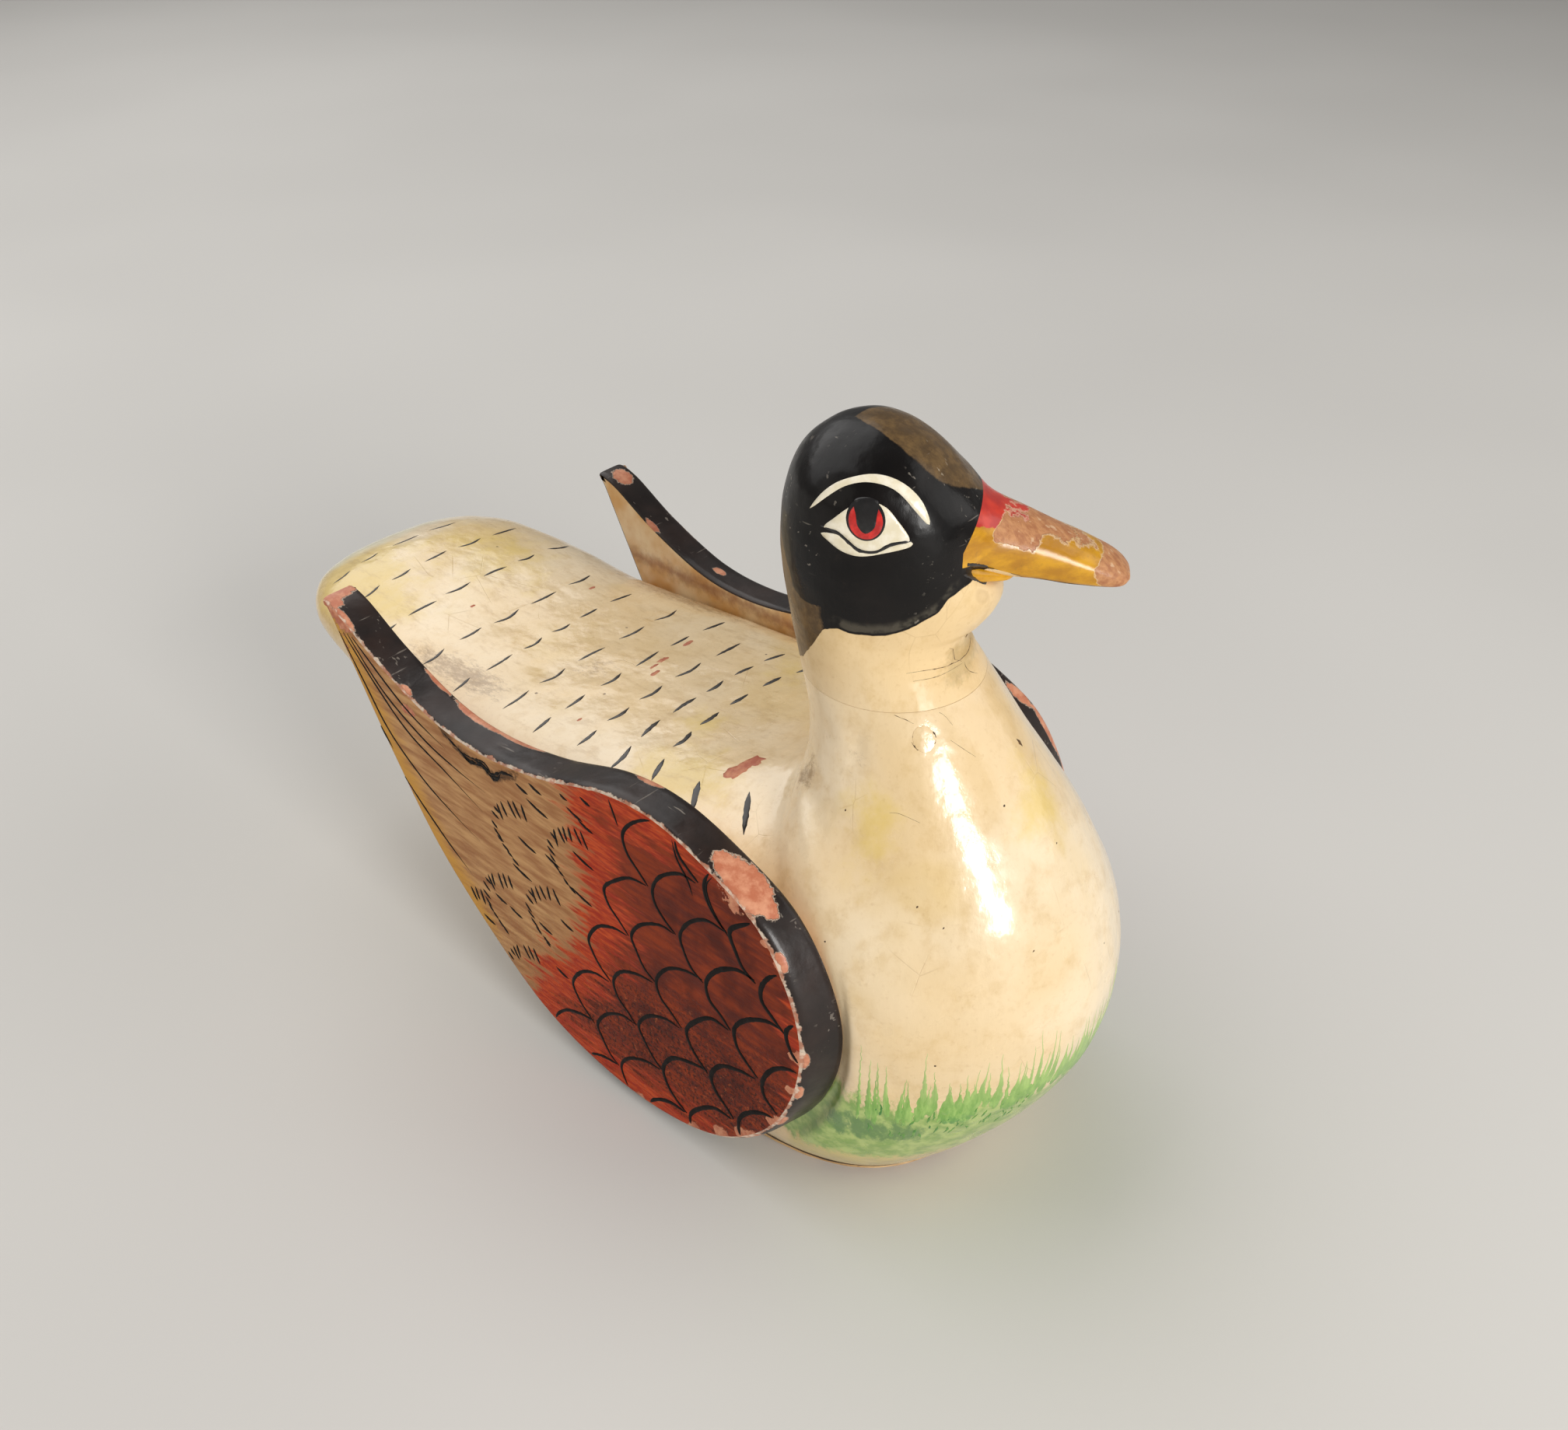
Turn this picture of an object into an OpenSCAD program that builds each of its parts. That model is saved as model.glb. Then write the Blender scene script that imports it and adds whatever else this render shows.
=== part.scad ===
// Painted wooden duck decoy: a carved hollow body, side boards for wings, a head that turns on a
// dowel, a bottom board with ballast and a folding line-tie ring.
// The duck looks along -Y, its left side is +X, and z = 0 is the underside it stands on.

/* [Body] */
// Length from breast to tail; every carved profile scales with it
body_len = 232; // [215:1:260]
// Half the distance between the two flat seats that the wing boards are glued to
seat_x = 39.2; // [37:0.1:40]
// Gap between neck and head
seam_gap = 0.3; // [0.2:0.1:0.6]

/* [Wings] */
// Thickness of a wing board
wing_t = 8.6; // [7:0.1:10]
// How far a wing board's front edge slants forward, from outer face to inner face
wing_flare = 3.5; // [2:0.5:5]
// Diameter of the glued wing pegs
wing_peg_d = 5; // [4:0.5:6]

/* [Head] */
// Angle that the head is turned to the duck's left at rest
head_turn = 38; // [-60:1:60]
// Diameter of the dowel that the head turns on
dowel_d = 10; // [8:0.5:12]
// Radial clearance between the dowel and its bore in the neck
dowel_fit = 0.06; // [0.02:0.01:0.1]
// Diameter of the friction peg in the neck
neck_peg_d = 4.6; // [4:0.2:5]

/* [Bottom board] */
// Thickness of the board's visible edge
board_t = 3; // [2.5:0.5:4]
// Height of the board's inner step, which locates it in the hollow
board_step = 5; // [4:0.5:6]
// Thickness of the bedding compound between board and body
seal_t = 0.6; // [0.4:0.1:1]
// Radius of the three bores that hollow the body
hollow_r = 21; // [19:0.5:22]
// Height of the ceiling of the hollow
hollow_top = 64; // [56:1:66]

/* [Ballast and line tie] */
// Length of the ballast weight, along the duck
ballast_len = 44; // [40:1:48]
// Width of the ballast weight
ballast_width = 24; // [20:1:26]
// Thickness of the ballast weight
ballast_t = 9; // [7:0.5:11]
// Wire diameter of the line-tie ring
ring_wire_d = 1.8; // [1.4:0.1:2.2]
// Radius of the line-tie ring's round end, to the middle of its wire
ring_r = 5.5; // [4.5:0.1:5.8]

/* [Hidden] */

k = body_len / 232;
neck_y = -62.5 * k;
// Height of the joint between neck and head
seam = 115 * k;

cream = [0.93, 0.84, 0.66];
hood_black = [0.09, 0.09, 0.10];
wing_brown = [0.60, 0.27, 0.16];
bill_yellow = [0.85, 0.63, 0.10];
raw_wood = [0.72, 0.52, 0.34];
brass = [0.78, 0.62, 0.30];
steel = [0.62, 0.62, 0.64];

// Each row of a loft is one section of the carving:
// [top y, top z, bottom y, bottom z, half width, roundness of the top half, of the bottom half]
// A roundness of 2 is an ellipse, and larger values are squarer.
body_rows = [
    [116, 78, 116, 76, 6, 2, 2],
    [114.5, 80.5, 114.5, 73.5, 17, 2, 2],
    [109.5, 82.5, 109.5, 71, 25.5, 2.2, 2],
    [98, 84, 98, 67, 33, 2.4, 2],
    [79, 83, 79, 60.5, 36.5, 2.8, 2.1],
    [57, 80, 57, 48, 39, 4, 2.2],
    [35, 79.5, 35, 29, 41.5, 5.2, 2.3],
    [10, 81, 10, 9, 43, 6, 2.5],
    [-12, 83, -13, -4, 43.5, 6, 2.7],
    [-30, 85.5, -41, -8, 43.5, 5, 3],
    [-42, 88.5, -65, -7.5, 43.5, 3.4, 3],
    [-48, 92, -85.5, -2.2, 43, 2.5, 2.6],
    [-50, 95, -102, 14, 42, 2.1, 2.2],
    [-50, 98, -112.5, 33, 39.5, 2, 2.05],
    [-49.5, 100, -116, 51, 35.5, 2, 2],
    [-48.5, 102, -112.5, 70, 29.5, 2, 2],
    [-47.5, 105, -104, 86, 25, 2, 2],
    [-46, 109, -92.5, 101, 21, 2, 2],
    [-44.1, 115, -80.9, 115, 18.4, 2, 2]
];

// The same kind of rows for the head and bill, looking along -Y with the neck's axis at y = 0
head_rows = [
    [18.4, 115, -18.4, 115, 18.4, 2, 2],
    [19.2, 119, -16, 119, 17.2, 2, 2],
    [20.2, 124, -14, 123, 16.6, 2, 2],
    [21, 129, -14.8, 125.4, 16.6, 2, 2],
    [21.8, 135, -17.2, 127.4, 17, 2, 2],
    [22.3, 143, -19.2, 130, 17.6, 2.1, 2],
    [21.8, 151.8, -20.2, 133, 18, 2.1, 2],
    [18.8, 160.2, -19.6, 135.4, 18, 2.2, 2],
    [12.2, 165.8, -18, 136.5, 17.4, 2.2, 2],
    [3.8, 167.2, -16.4, 137, 16.2, 2.1, 2],
    [-4.2, 163.8, -15.2, 137.4, 14.6, 2.1, 2],
    [-11.3, 157.8, -14.4, 137.7, 12.4, 2.1, 2.2],
    [-17, 151.8, -15.5, 138, 9.8, 2.2, 2.8],
    [-25, 148, -23, 137.5, 7.9, 2.3, 3.4],
    [-33, 144.2, -31.5, 136.4, 7.1, 2.3, 3.4],
    [-39.5, 141, -38.5, 135.4, 6.3, 2.3, 3],
    [-42.4, 139, -41.8, 135.2, 5.2, 2.2, 2.5],
    [-43.6, 137.7, -43.3, 136, 3.4, 2, 2]
];

// The short lower bill, from inside the chin to its tip
lower_bill_rows = [
    [-9, 143.9, -9, 139, 12.9, 3.4, 2.4],
    [-13, 143.2, -13, 138.4, 12, 3.4, 2.4],
    [-17, 141.4, -17, 137.6, 9.6, 3.4, 2.4],
    [-20.5, 139.6, -20.5, 137, 7, 3, 2],
    [-22.3, 138.9, -22.3, 137.6, 4, 2, 2]
];

// Side view of the space that the bill takes up, as [y, z]: its root leans forward at the top,
// and its underside lies on the lower bill
bill_space = [
    [-11.4, 144.2], [-11.4, 147], [-15.2, 153.9], [-24, 170], [-60, 170], [-60, 125],
    [-22.6, 125], [-22.6, 139.1]
];

// Outline of a wing board's outer face, as [y, z], from its lowest edge to the tip, the top
// edge and the round front
wing_points = [
    [-18, 4.2], [2, 10.5], [19, 23.5], [37, 42.5], [50, 64], [60, 83.5], [66.5, 96.5],
    [68.5, 100], [62, 98.5], [48, 90.5], [30, 83.5], [13, 82.3], [-6, 85.5], [-26, 91.8],
    [-42, 92.5], [-58, 87.2], [-69.5, 80.2], [-77, 68], [-80.3, 54], [-77.8, 38], [-70, 22.5],
    [-56, 9.8], [-38, 4]
];

// How far ahead of y = 0 the wing seats stay flat at mid height, before the boards' slant
seat_reach = 83.4;
// How steeply the breast swells out ahead of the wing seats
swell_slope = 0.85;
// How far ahead of y = 0 a wing board reaches, where its front edge slants in full
wing_reach = 80;
wing_edge_round = 1.1;

// Facets round a carving, and sections from each listed row to the next
carving_sides = 40;
carving_steps = 3;
bill_sides = 24;

// Centres of the three overlapping bores that hollow the body
hollow_ys = [-59, -47, -35];
// Places of the two pegs in each wing board, as [y, z]
peg_places = [[-22, 50], [20, 60]];
peg_from = 27.5;
peg_in_wing = 5.3;
// Places of the screws round the bottom board, as [x, y]
screw_places = [[26.8, -62], [-26.8, -62], [26.8, -35], [-26.8, -35], [0, -84.4], [0, -9]];
screw_head_r = 2.6;
screw_head_h = 1.6;
screw_rim_h = 0.3;
screw_point = 2.5;
screw_sink = 0.2;
screw_r = 1.3;
screw_len = 13;
// Gap between the board's step and the wall of the hollow, and how far the bedding stays back
step_gap = 0.3;
seal_gap = 0.2;

dowel_bottom = 50;
dowel_top = 141;
washer_r = 9;
washer_t = 1;
washer_gap = 0.4;
pin_r = 1.25;
pin_len = 17;
pin_drop = 3.2;

bill_peg_r = 2.5;
bill_peg_len = 24;
// How far ahead of the neck's axis the bill peg starts, and at what height
bill_peg_from = [6, 147.5];
bill_tilt = 13;

neck_peg_angle = 36;
neck_peg_z = 110.8;
neck_peg_len = 14.5;

ballast_y = -42;
ballast_screw_x = 13;
ballast_screw_len = 13.5;

// The line tie: a wire staple over a ring that folds up into a round pocket
tie_y = -72;
pivot_z = 3.2;
pocket_r = 9;
pocket_y = tie_y + 4.3;
ring_leg = 4;
pocket_depth = 4.6;
staple_wire_r = 0.8;
staple_r = 2.4;
staple_bend_z = 3.5;
clinch_len = 4;

function spline(p, q, r, s, t) =
    0.5 * (2 * q + (r - p) * t + (2 * p - 5 * q + 4 * r - s) * t * t
    + (3 * q - p - 3 * r + s) * t * t * t);

// A row between the listed ones, on a smooth curve through them all
function row_at(rows, u) =
    let (last = len(rows) - 1, i = min(floor(u), last - 1))
    spline(rows[max(i - 1, 0)], rows[i], rows[i + 1], rows[min(i + 2, last)], u - i);

// A closed smooth curve through the points, with "steps" points from each to the next
function closed_curve(points, steps) =
    let (n = len(points))
    [for (i = [0 : n - 1], j = [0 : steps - 1])
        spline(points[(i + n - 1) % n], points[i], points[(i + 1) % n], points[(i + 2) % n],
            j / steps)];

// The same loop moved inwards by d; the loop runs counter-clockwise in [y, z]
function inset(loop, d) =
    let (n = len(loop))
    [for (i = [0 : n - 1])
        let (t = loop[(i + 1) % n] - loop[(i + n - 1) % n])
        loop[i] + d * [-t[1], t[0]] / norm(t)];

function bent(v, e) = sign(v) * pow(abs(v), e);

// One section: a rounded closed loop between the row's top point and bottom point
function section(row, sides) = [
    for (i = [0 : sides - 1])
        let (a = 360 * i / sides, e = 2 / (cos(a) >= 0 ? row[5] : row[6]))
        let (c = bent(cos(a), e), s = bent(sin(a), e))
        [row[4] * s,
         (row[0] + row[2]) / 2 + (row[0] - row[2]) / 2 * c,
         (row[1] + row[3]) / 2 + (row[1] - row[3]) / 2 * c]
];

// The wing seats are flat ahead to the wing's round front edge; beyond it the breast swells out
function seat_front(z) = -seat_reach - wing_flare + pow((z / k - 52) / 10, 2);

function seat_limit(y, z) = seat_x + max(0, seat_front(z) - y / k) * swell_slope;

function seated(p) = [sign(p[0]) * min(abs(p[0]), seat_limit(p[1], p[2])), p[1], p[2]];

// Solid through a list of closed loops that all have the same number of points
module skin(loops) {
    n = len(loops[0]);
    m = len(loops);
    polyhedron(
        points = [for (loop = loops) each loop],
        faces = [
            [for (i = [n - 1 : -1 : 0]) i],
            [for (i = [0 : n - 1]) (m - 1) * n + i],
            for (j = [0 : m - 2], i = [0 : n - 1]) [j * n + i, j * n + (i + 1) % n,
                (j + 1) * n + (i + 1) % n],
            for (j = [0 : m - 2], i = [0 : n - 1]) [j * n + i, (j + 1) * n + (i + 1) % n,
                (j + 1) * n + i]
        ]
    );
}

// Carving through rows "from" to "to", with "steps" sections from each row to the next
module carving(rows, from, to, steps, sides) {
    skin([for (j = [0 : (to - from) * steps]) k * section(row_at(rows, from + j / steps), sides)]);
}

module body_form() {
    last = len(body_rows) - 1;
    skin([for (j = [0 : last * carving_steps])
        [for (p = k * section(row_at(body_rows, j / carving_steps), carving_sides)) seated(p)]]);
}

// The stretch of the body that reaches down to the bottom board
module belly_form() {
    carving(body_rows, 6, 13, carving_steps + 1, carving_sides);
}

// Everything between two heights
module between(low, high) {
    translate([-100, -150, low])
    cube([200, 300, high - low]);
}

// The front edge slants forward by "slant" where the board is widest
function slanted(loop, slant) =
    [for (p = loop) [p[0] - slant * pow(max(0, -p[0]) / wing_reach, 3), p[1]]];

function wing_loop(x, slant, inward) =
    [for (p = inset(slanted(closed_curve(wing_points, carving_steps), slant), inward))
        [x, k * p[0], k * p[1]]];

// A wing board; side is 1 for the left wing and -1 for the right
module wing_form(side) {
    outer = seat_x + wing_t;
    loops = [
        wing_loop(outer, 0, wing_edge_round),
        wing_loop(outer - 1.2, wing_flare * 0.15, 0),
        wing_loop(seat_x, wing_flare, 0)
    ];
    mirror([side < 0 ? 1 : 0, 0, 0])
    skin(loops);
}

module along_x(from, to, r) {
    translate([min(from, to), 0, 0])
    rotate([0, 90, 0])
    cylinder(r = r, h = abs(to - from), $fn = 32);
}

module wing_pegs(side) {
    for (p = peg_places)
        mirror([side < 0 ? 1 : 0, 0, 0])
        translate([0, k * p[0], k * p[1]])
        along_x(peg_from, seat_x + peg_in_wing, wing_peg_d / 2);
}

// Plan of the hollow, "gap" smaller all round
module hollow_plan(low, high, gap) {
    for (y = hollow_ys)
        translate([0, k * y, low])
        cylinder(r = hollow_r - gap, h = high - low, $fn = 64);
}

module countersunk_screw(length, shank_r) {
    rotate_extrude($fn = 32)
    polygon([
        [0, 0], [screw_head_r, 0], [screw_head_r, screw_rim_h], [shank_r, screw_head_h],
        [shank_r, length - screw_point], [0, length]
    ]);
}

module board_screw_set() {
    for (p = screw_places)
        translate([p[0], k * p[1], screw_sink])
        countersunk_screw(screw_len, screw_r);
}

module ballast_screw_set() {
    top = board_t + board_step + ballast_t;
    for (s = [-1, 1])
        translate([0, k * ballast_y + s * ballast_screw_x, top])
        rotate([180, 0, 0])
        countersunk_screw(ballast_screw_len, screw_r);
}

module neck_axis(low, high, r) {
    translate([0, neck_y, low])
    cylinder(r = r, h = high - low, $fn = 48);
}

// The peg lies along a radius of the neck, from "inner" out through the neck's surface
module neck_peg_form(inner) {
    translate([0, neck_y, neck_peg_z * k])
    rotate([0, 0, -90 - neck_peg_angle])
    along_x(inner, dowel_d / 2 + dowel_fit + neck_peg_len, neck_peg_d / 2);
}

// The staple's legs go through the board and are clinched over inside
module staple_legs() {
    board_top = board_t + board_step;
    for (s = [-1, 1])
        translate([0, k * tie_y + s * staple_r, 0]) {
            translate([0, 0, staple_bend_z])
            cylinder(r = staple_wire_r, h = board_top + staple_wire_r - staple_bend_z, $fn = 24);
            translate([0, 0, board_top + staple_wire_r])
            sphere(r = staple_wire_r, $fn = 24);
            translate([0, 0, board_top + staple_wire_r])
            along_x(0, s * clinch_len, staple_wire_r);
        }
}

module pocket() {
    translate([0, k * pocket_y, -1])
    cylinder(r = pocket_r, h = pocket_depth + 1, $fn = 48);
}

// Turned to the duck's left about the neck's axis
module turned() {
    translate([0, neck_y, 0])
    rotate([0, 0, head_turn])
    children();
}

module bill_peg_form() {
    turned()
    translate([0, -k * bill_peg_from[0], k * bill_peg_from[1]])
    rotate([90 + bill_tilt, 0, 0])
    cylinder(r = bill_peg_r, h = bill_peg_len, $fn = 32);
}

// The body's outside, cut flat underneath
module body_blank() {
    difference() {
        body_form();
        between(-20, board_t + seal_t);
    }
}

module body_bores() {
    hollow_plan(-1, hollow_top, 0);
    neck_axis(hollow_top - 1, seam + 1, dowel_d / 2 + dowel_fit);
    neck_peg_form(dowel_d / 4);
    wing_pegs(1);
    wing_pegs(-1);
    board_screw_set();
}

module body_shell() {
    color(cream)
    difference() {
        body_blank();
        union() body_bores();
    }
}

module bottom_board() {
    color(raw_wood)
    difference() {
        union() {
            intersection() {
                belly_form();
                between(0, board_t);
            }
            hollow_plan(board_t - 1, board_t + board_step, step_gap);
        }
        pocket();
        staple_legs();
        board_screw_set();
        ballast_screw_set();
    }
}

module board_seal() {
    color([0.16, 0.11, 0.08])
    difference() {
        intersection() {
            belly_form();
            between(board_t, board_t + seal_t);
        }
        hollow_plan(board_t - 1, board_t + board_step, -seal_gap);
        board_screw_set();
    }
}

module board_screws() {
    color(brass)
    board_screw_set();
}

module wing_left() {
    color(wing_brown)
    difference() {
        wing_form(1);
        wing_pegs(1);
    }
}

module wing_right() {
    color(wing_brown)
    difference() {
        wing_form(-1);
        wing_pegs(-1);
    }
}

module wing_pegs_left() {
    color(raw_wood)
    wing_pegs(1);
}

module wing_pegs_right() {
    color(raw_wood)
    wing_pegs(-1);
}

module head_form() {
    turned()
    carving(head_rows, 0, len(head_rows) - 1, carving_steps, carving_sides);
}

module bill_space_form() {
    turned()
    rotate([90, 0, 90])
    linear_extrude(60, center = true)
    polygon(k * bill_space);
}

module lower_bill_form() {
    turned()
    carving(lower_bill_rows, 0, len(lower_bill_rows) - 1, carving_steps, bill_sides);
}

module head() {
    color(hood_black)
    difference() {
        head_form();
        union() {
            bill_space_form();
            between(0, seam + seam_gap);
            neck_axis(0, dowel_top, dowel_d / 2);
            bill_peg_form();
            lower_bill_form();
        }
    }
}

module bill() {
    color(bill_yellow)
    difference() {
        intersection() {
            head_form();
            bill_space_form();
        }
        bill_peg_form();
    }
}

module lower_bill() {
    color(bill_yellow)
    lower_bill_form();
}

module bill_peg() {
    color(raw_wood)
    bill_peg_form();
}

module head_dowel() {
    color(raw_wood)
    difference() {
        neck_axis(dowel_bottom, dowel_top, dowel_d / 2);
        dowel_pin_form();
    }
}

module dowel_pin_form() {
    translate([0, neck_y, hollow_top - washer_t - pin_drop])
    along_x(-pin_len / 2, pin_len / 2, pin_r);
}

module dowel_pin() {
    color(steel)
    dowel_pin_form();
}

module dowel_washer() {
    color(brass)
    difference() {
        neck_axis(hollow_top - washer_t, hollow_top, washer_r);
        neck_axis(hollow_top - washer_t - 1, hollow_top + 1, dowel_d / 2 + washer_gap);
    }
}

module neck_peg() {
    color(cream)
    intersection() {
        neck_peg_form(dowel_d / 2 + dowel_fit);
        carving(body_rows, 15, 18, carving_steps, carving_sides);
    }
}

module ballast_weight() {
    straight = ballast_len - ballast_width;
    color([0.42, 0.43, 0.45])
    difference() {
        translate([0, k * ballast_y, board_t + board_step])
        union() {
            for (s = [-1, 1])
                translate([0, s * straight / 2, 0])
                cylinder(r = ballast_width / 2, h = ballast_t, $fn = 48);
            translate([-ballast_width / 2, -straight / 2, 0])
            cube([ballast_width, straight, ballast_t]);
        }
        ballast_screw_set();
    }
}

module ballast_screws() {
    color(brass)
    ballast_screw_set();
}

module line_tie_staple() {
    color(brass)
    union() {
        staple_legs();
        translate([0, k * tie_y, staple_bend_z])
        rotate([0, 90, 0])
        rotate([0, 0, -90])
        rotate_extrude(angle = 180, $fn = 48)
        translate([staple_r, 0])
        circle(r = staple_wire_r, $fn = 24);
    }
}

// A D-shaped ring: its straight bar turns in the staple
module line_tie_ring() {
    wire_r = ring_wire_d / 2;
    color(brass)
    translate([0, k * tie_y, pivot_z])
    union() {
        along_x(-ring_r, ring_r, wire_r);
        for (s = [-1, 1])
            translate([s * ring_r, 0, 0]) {
                sphere(r = wire_r, $fn = 32);
                rotate([-90, 0, 0])
                cylinder(r = wire_r, h = ring_leg, $fn = 32);
            }
        translate([0, ring_leg, 0])
        rotate_extrude(angle = 180, $fn = 64)
        translate([ring_r, 0])
        circle(r = wire_r, $fn = 32);
    }
}

body_shell();
bottom_board();
board_seal();
board_screws();
wing_left();
wing_right();
wing_pegs_left();
wing_pegs_right();
head();
bill();
lower_bill();
bill_peg();
head_dowel();
dowel_washer();
dowel_pin();
neck_peg();
ballast_weight();
ballast_screws();
line_tie_staple();
line_tie_ring();
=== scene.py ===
"""Looks of a hand-painted wooden duck decoy, built round its solid parts.

Lengths are in millimetres up to the point where a mesh is made, and in metres from there on.
The duck looks along -Y, its left side is +X, and its head is turned about the neck's axis.
"""
import math

import bmesh
import bpy
import numpy as np
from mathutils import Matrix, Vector, noise
from mathutils.bvhtree import BVHTree
from mathutils.geometry import delaunay_2d_cdt


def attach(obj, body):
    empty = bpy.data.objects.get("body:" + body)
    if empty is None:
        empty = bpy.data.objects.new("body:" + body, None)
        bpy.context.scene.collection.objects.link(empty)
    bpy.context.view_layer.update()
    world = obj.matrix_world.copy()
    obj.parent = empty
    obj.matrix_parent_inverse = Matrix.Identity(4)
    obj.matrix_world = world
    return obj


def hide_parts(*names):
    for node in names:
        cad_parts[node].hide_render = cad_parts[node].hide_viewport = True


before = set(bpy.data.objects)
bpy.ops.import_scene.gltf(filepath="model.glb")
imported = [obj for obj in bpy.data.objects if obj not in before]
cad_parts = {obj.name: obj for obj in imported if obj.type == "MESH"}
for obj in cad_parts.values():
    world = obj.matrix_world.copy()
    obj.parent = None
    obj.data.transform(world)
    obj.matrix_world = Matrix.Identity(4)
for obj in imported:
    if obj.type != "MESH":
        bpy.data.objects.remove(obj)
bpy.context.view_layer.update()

MM = 0.001
rng = np.random.default_rng(11)

# ---------------------------------------------------------------- the carving, as in the solid parts

SEAT_X = 39.2  # the flat seats of the wing boards, either side of the middle
# The lacquer fills the strip of seat ahead of the wing boards, so the swell starts sooner here
SEAT_REACH = 81.0
SWELL_SLOPE = 1.3
SEAT_EASE = 1.3  # rounds the crease round the seats
WING_T = 8.6
WING_FLARE = 3.5
WING_REACH = 80.0
NECK_Y = -62.5
HEAD_TURN = math.radians(38)
SEAM_Z = 115.0  # between neck and head
HEAD_LIFT = 0.075  # keeps the head off the neck
BASE_CUT = 3.6
BOARD_T = 3.0

# Sections of a carving: top (y, z), bottom (y, z), half width, squareness above and below
BODY_ROWS = [
    [116, 78, 116, 76, 6, 2, 2], [114.5, 80.5, 114.5, 73.5, 17, 2, 2],
    [109.5, 82.5, 109.5, 71, 25.5, 2.2, 2], [98, 84, 98, 67, 33, 2.4, 2],
    [79, 83, 79, 60.5, 36.5, 2.8, 2.1], [57, 80, 57, 48, 39, 4, 2.2],
    [35, 79.5, 35, 29, 41.5, 5.2, 2.3], [10, 81, 10, 9, 43, 6, 2.5],
    [-12, 83, -13, -4, 43.5, 6, 2.7], [-30, 85.5, -41, -8, 43.5, 5, 3],
    [-42, 88.5, -65, -7.5, 43.5, 3.4, 3], [-48, 92, -85.5, -2.2, 43, 2.5, 2.6],
    [-50, 95, -102, 14, 42, 2.1, 2.2], [-50, 98, -112.5, 33, 39.5, 2, 2.05],
    [-49.5, 100, -116, 51, 35.5, 2, 2], [-48.5, 102, -112.5, 70, 29.5, 2, 2],
    [-47.5, 105, -104, 86, 25, 2, 2], [-46, 109, -92.5, 101, 21, 2, 2],
    [-44.1, 115, -80.9, 115, 18.4, 2, 2]]
HEAD_ROWS = [
    [18.4, 115, -18.4, 115, 18.4, 2, 2], [19.2, 119, -16, 119, 17.2, 2, 2],
    [20.2, 124, -14, 123, 16.6, 2, 2], [21, 129, -14.8, 125.4, 16.6, 2, 2],
    [21.8, 135, -17.2, 127.4, 17, 2, 2], [22.3, 143, -19.2, 130, 17.6, 2.1, 2],
    [21.8, 151.8, -20.2, 133, 18, 2.1, 2], [18.8, 160.2, -19.6, 135.4, 18, 2.2, 2],
    [12.2, 165.8, -18, 136.5, 17.4, 2.2, 2], [3.8, 167.2, -16.4, 137, 16.2, 2.1, 2],
    [-4.2, 163.8, -15.2, 137.4, 14.6, 2.1, 2], [-11.3, 157.8, -14.4, 137.7, 12.4, 2.1, 2.2],
    [-17, 151.8, -15.5, 138, 9.8, 2.2, 2.8], [-25, 148, -23, 137.5, 7.9, 2.3, 3.4],
    [-33, 144.2, -31.5, 136.4, 7.1, 2.3, 3.4], [-39.5, 141, -38.5, 135.4, 6.3, 2.3, 3],
    [-42.4, 139, -41.8, 135.2, 5.2, 2.2, 2.5], [-43.6, 137.7, -43.3, 136, 3.4, 2, 2]]
LOWER_BILL_ROWS = [
    [-9, 143.9, -9, 139, 12.9, 3.4, 2.4], [-13, 143.2, -13, 138.4, 12, 3.4, 2.4],
    [-17, 141.4, -17, 137.6, 9.6, 3.4, 2.4], [-20.5, 139.6, -20.5, 137, 7, 3, 2],
    [-22.3, 138.9, -22.3, 137.6, 4, 2, 2]]
BILL_SPACE = [(-11.4, 144.2), (-11.4, 147), (-15.2, 153.9), (-24, 170), (-60, 170), (-60, 125),
              (-22.6, 125), (-22.6, 139.1)]
WING_POINTS = [
    (-18, 4.2), (2, 10.5), (19, 23.5), (37, 42.5), (50, 64), (60, 83.5), (66.5, 96.5),
    (68.5, 100), (62, 98.5), (48, 90.5), (30, 83.5), (13, 82.3), (-6, 85.5), (-26, 91.8),
    (-42, 92.5), (-58, 87.2), (-69.5, 80.2), (-77, 68), (-80.3, 54), (-77.8, 38), (-70, 22.5),
    (-56, 9.8), (-38, 4)]


def spline(before, start, end, after, t):
    return 0.5 * (2 * start + (end - before) * t + (2 * before - 5 * start + 4 * end - after) * t * t
                  + (3 * start - before - 3 * end + after) * t ** 3)


def row_at(rows, u):
    last = len(rows) - 1
    i = min(int(u), last - 1)
    return spline(rows[max(i - 1, 0)], rows[i], rows[i + 1], rows[min(i + 2, last)], u - i)


def seat_limit(p):
    ahead = -SEAT_REACH - WING_FLARE + ((p[:, 2] - 52) / 10) ** 2 - p[:, 1]
    return SEAT_X + np.maximum(0, ahead) * SWELL_SLOPE


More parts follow.
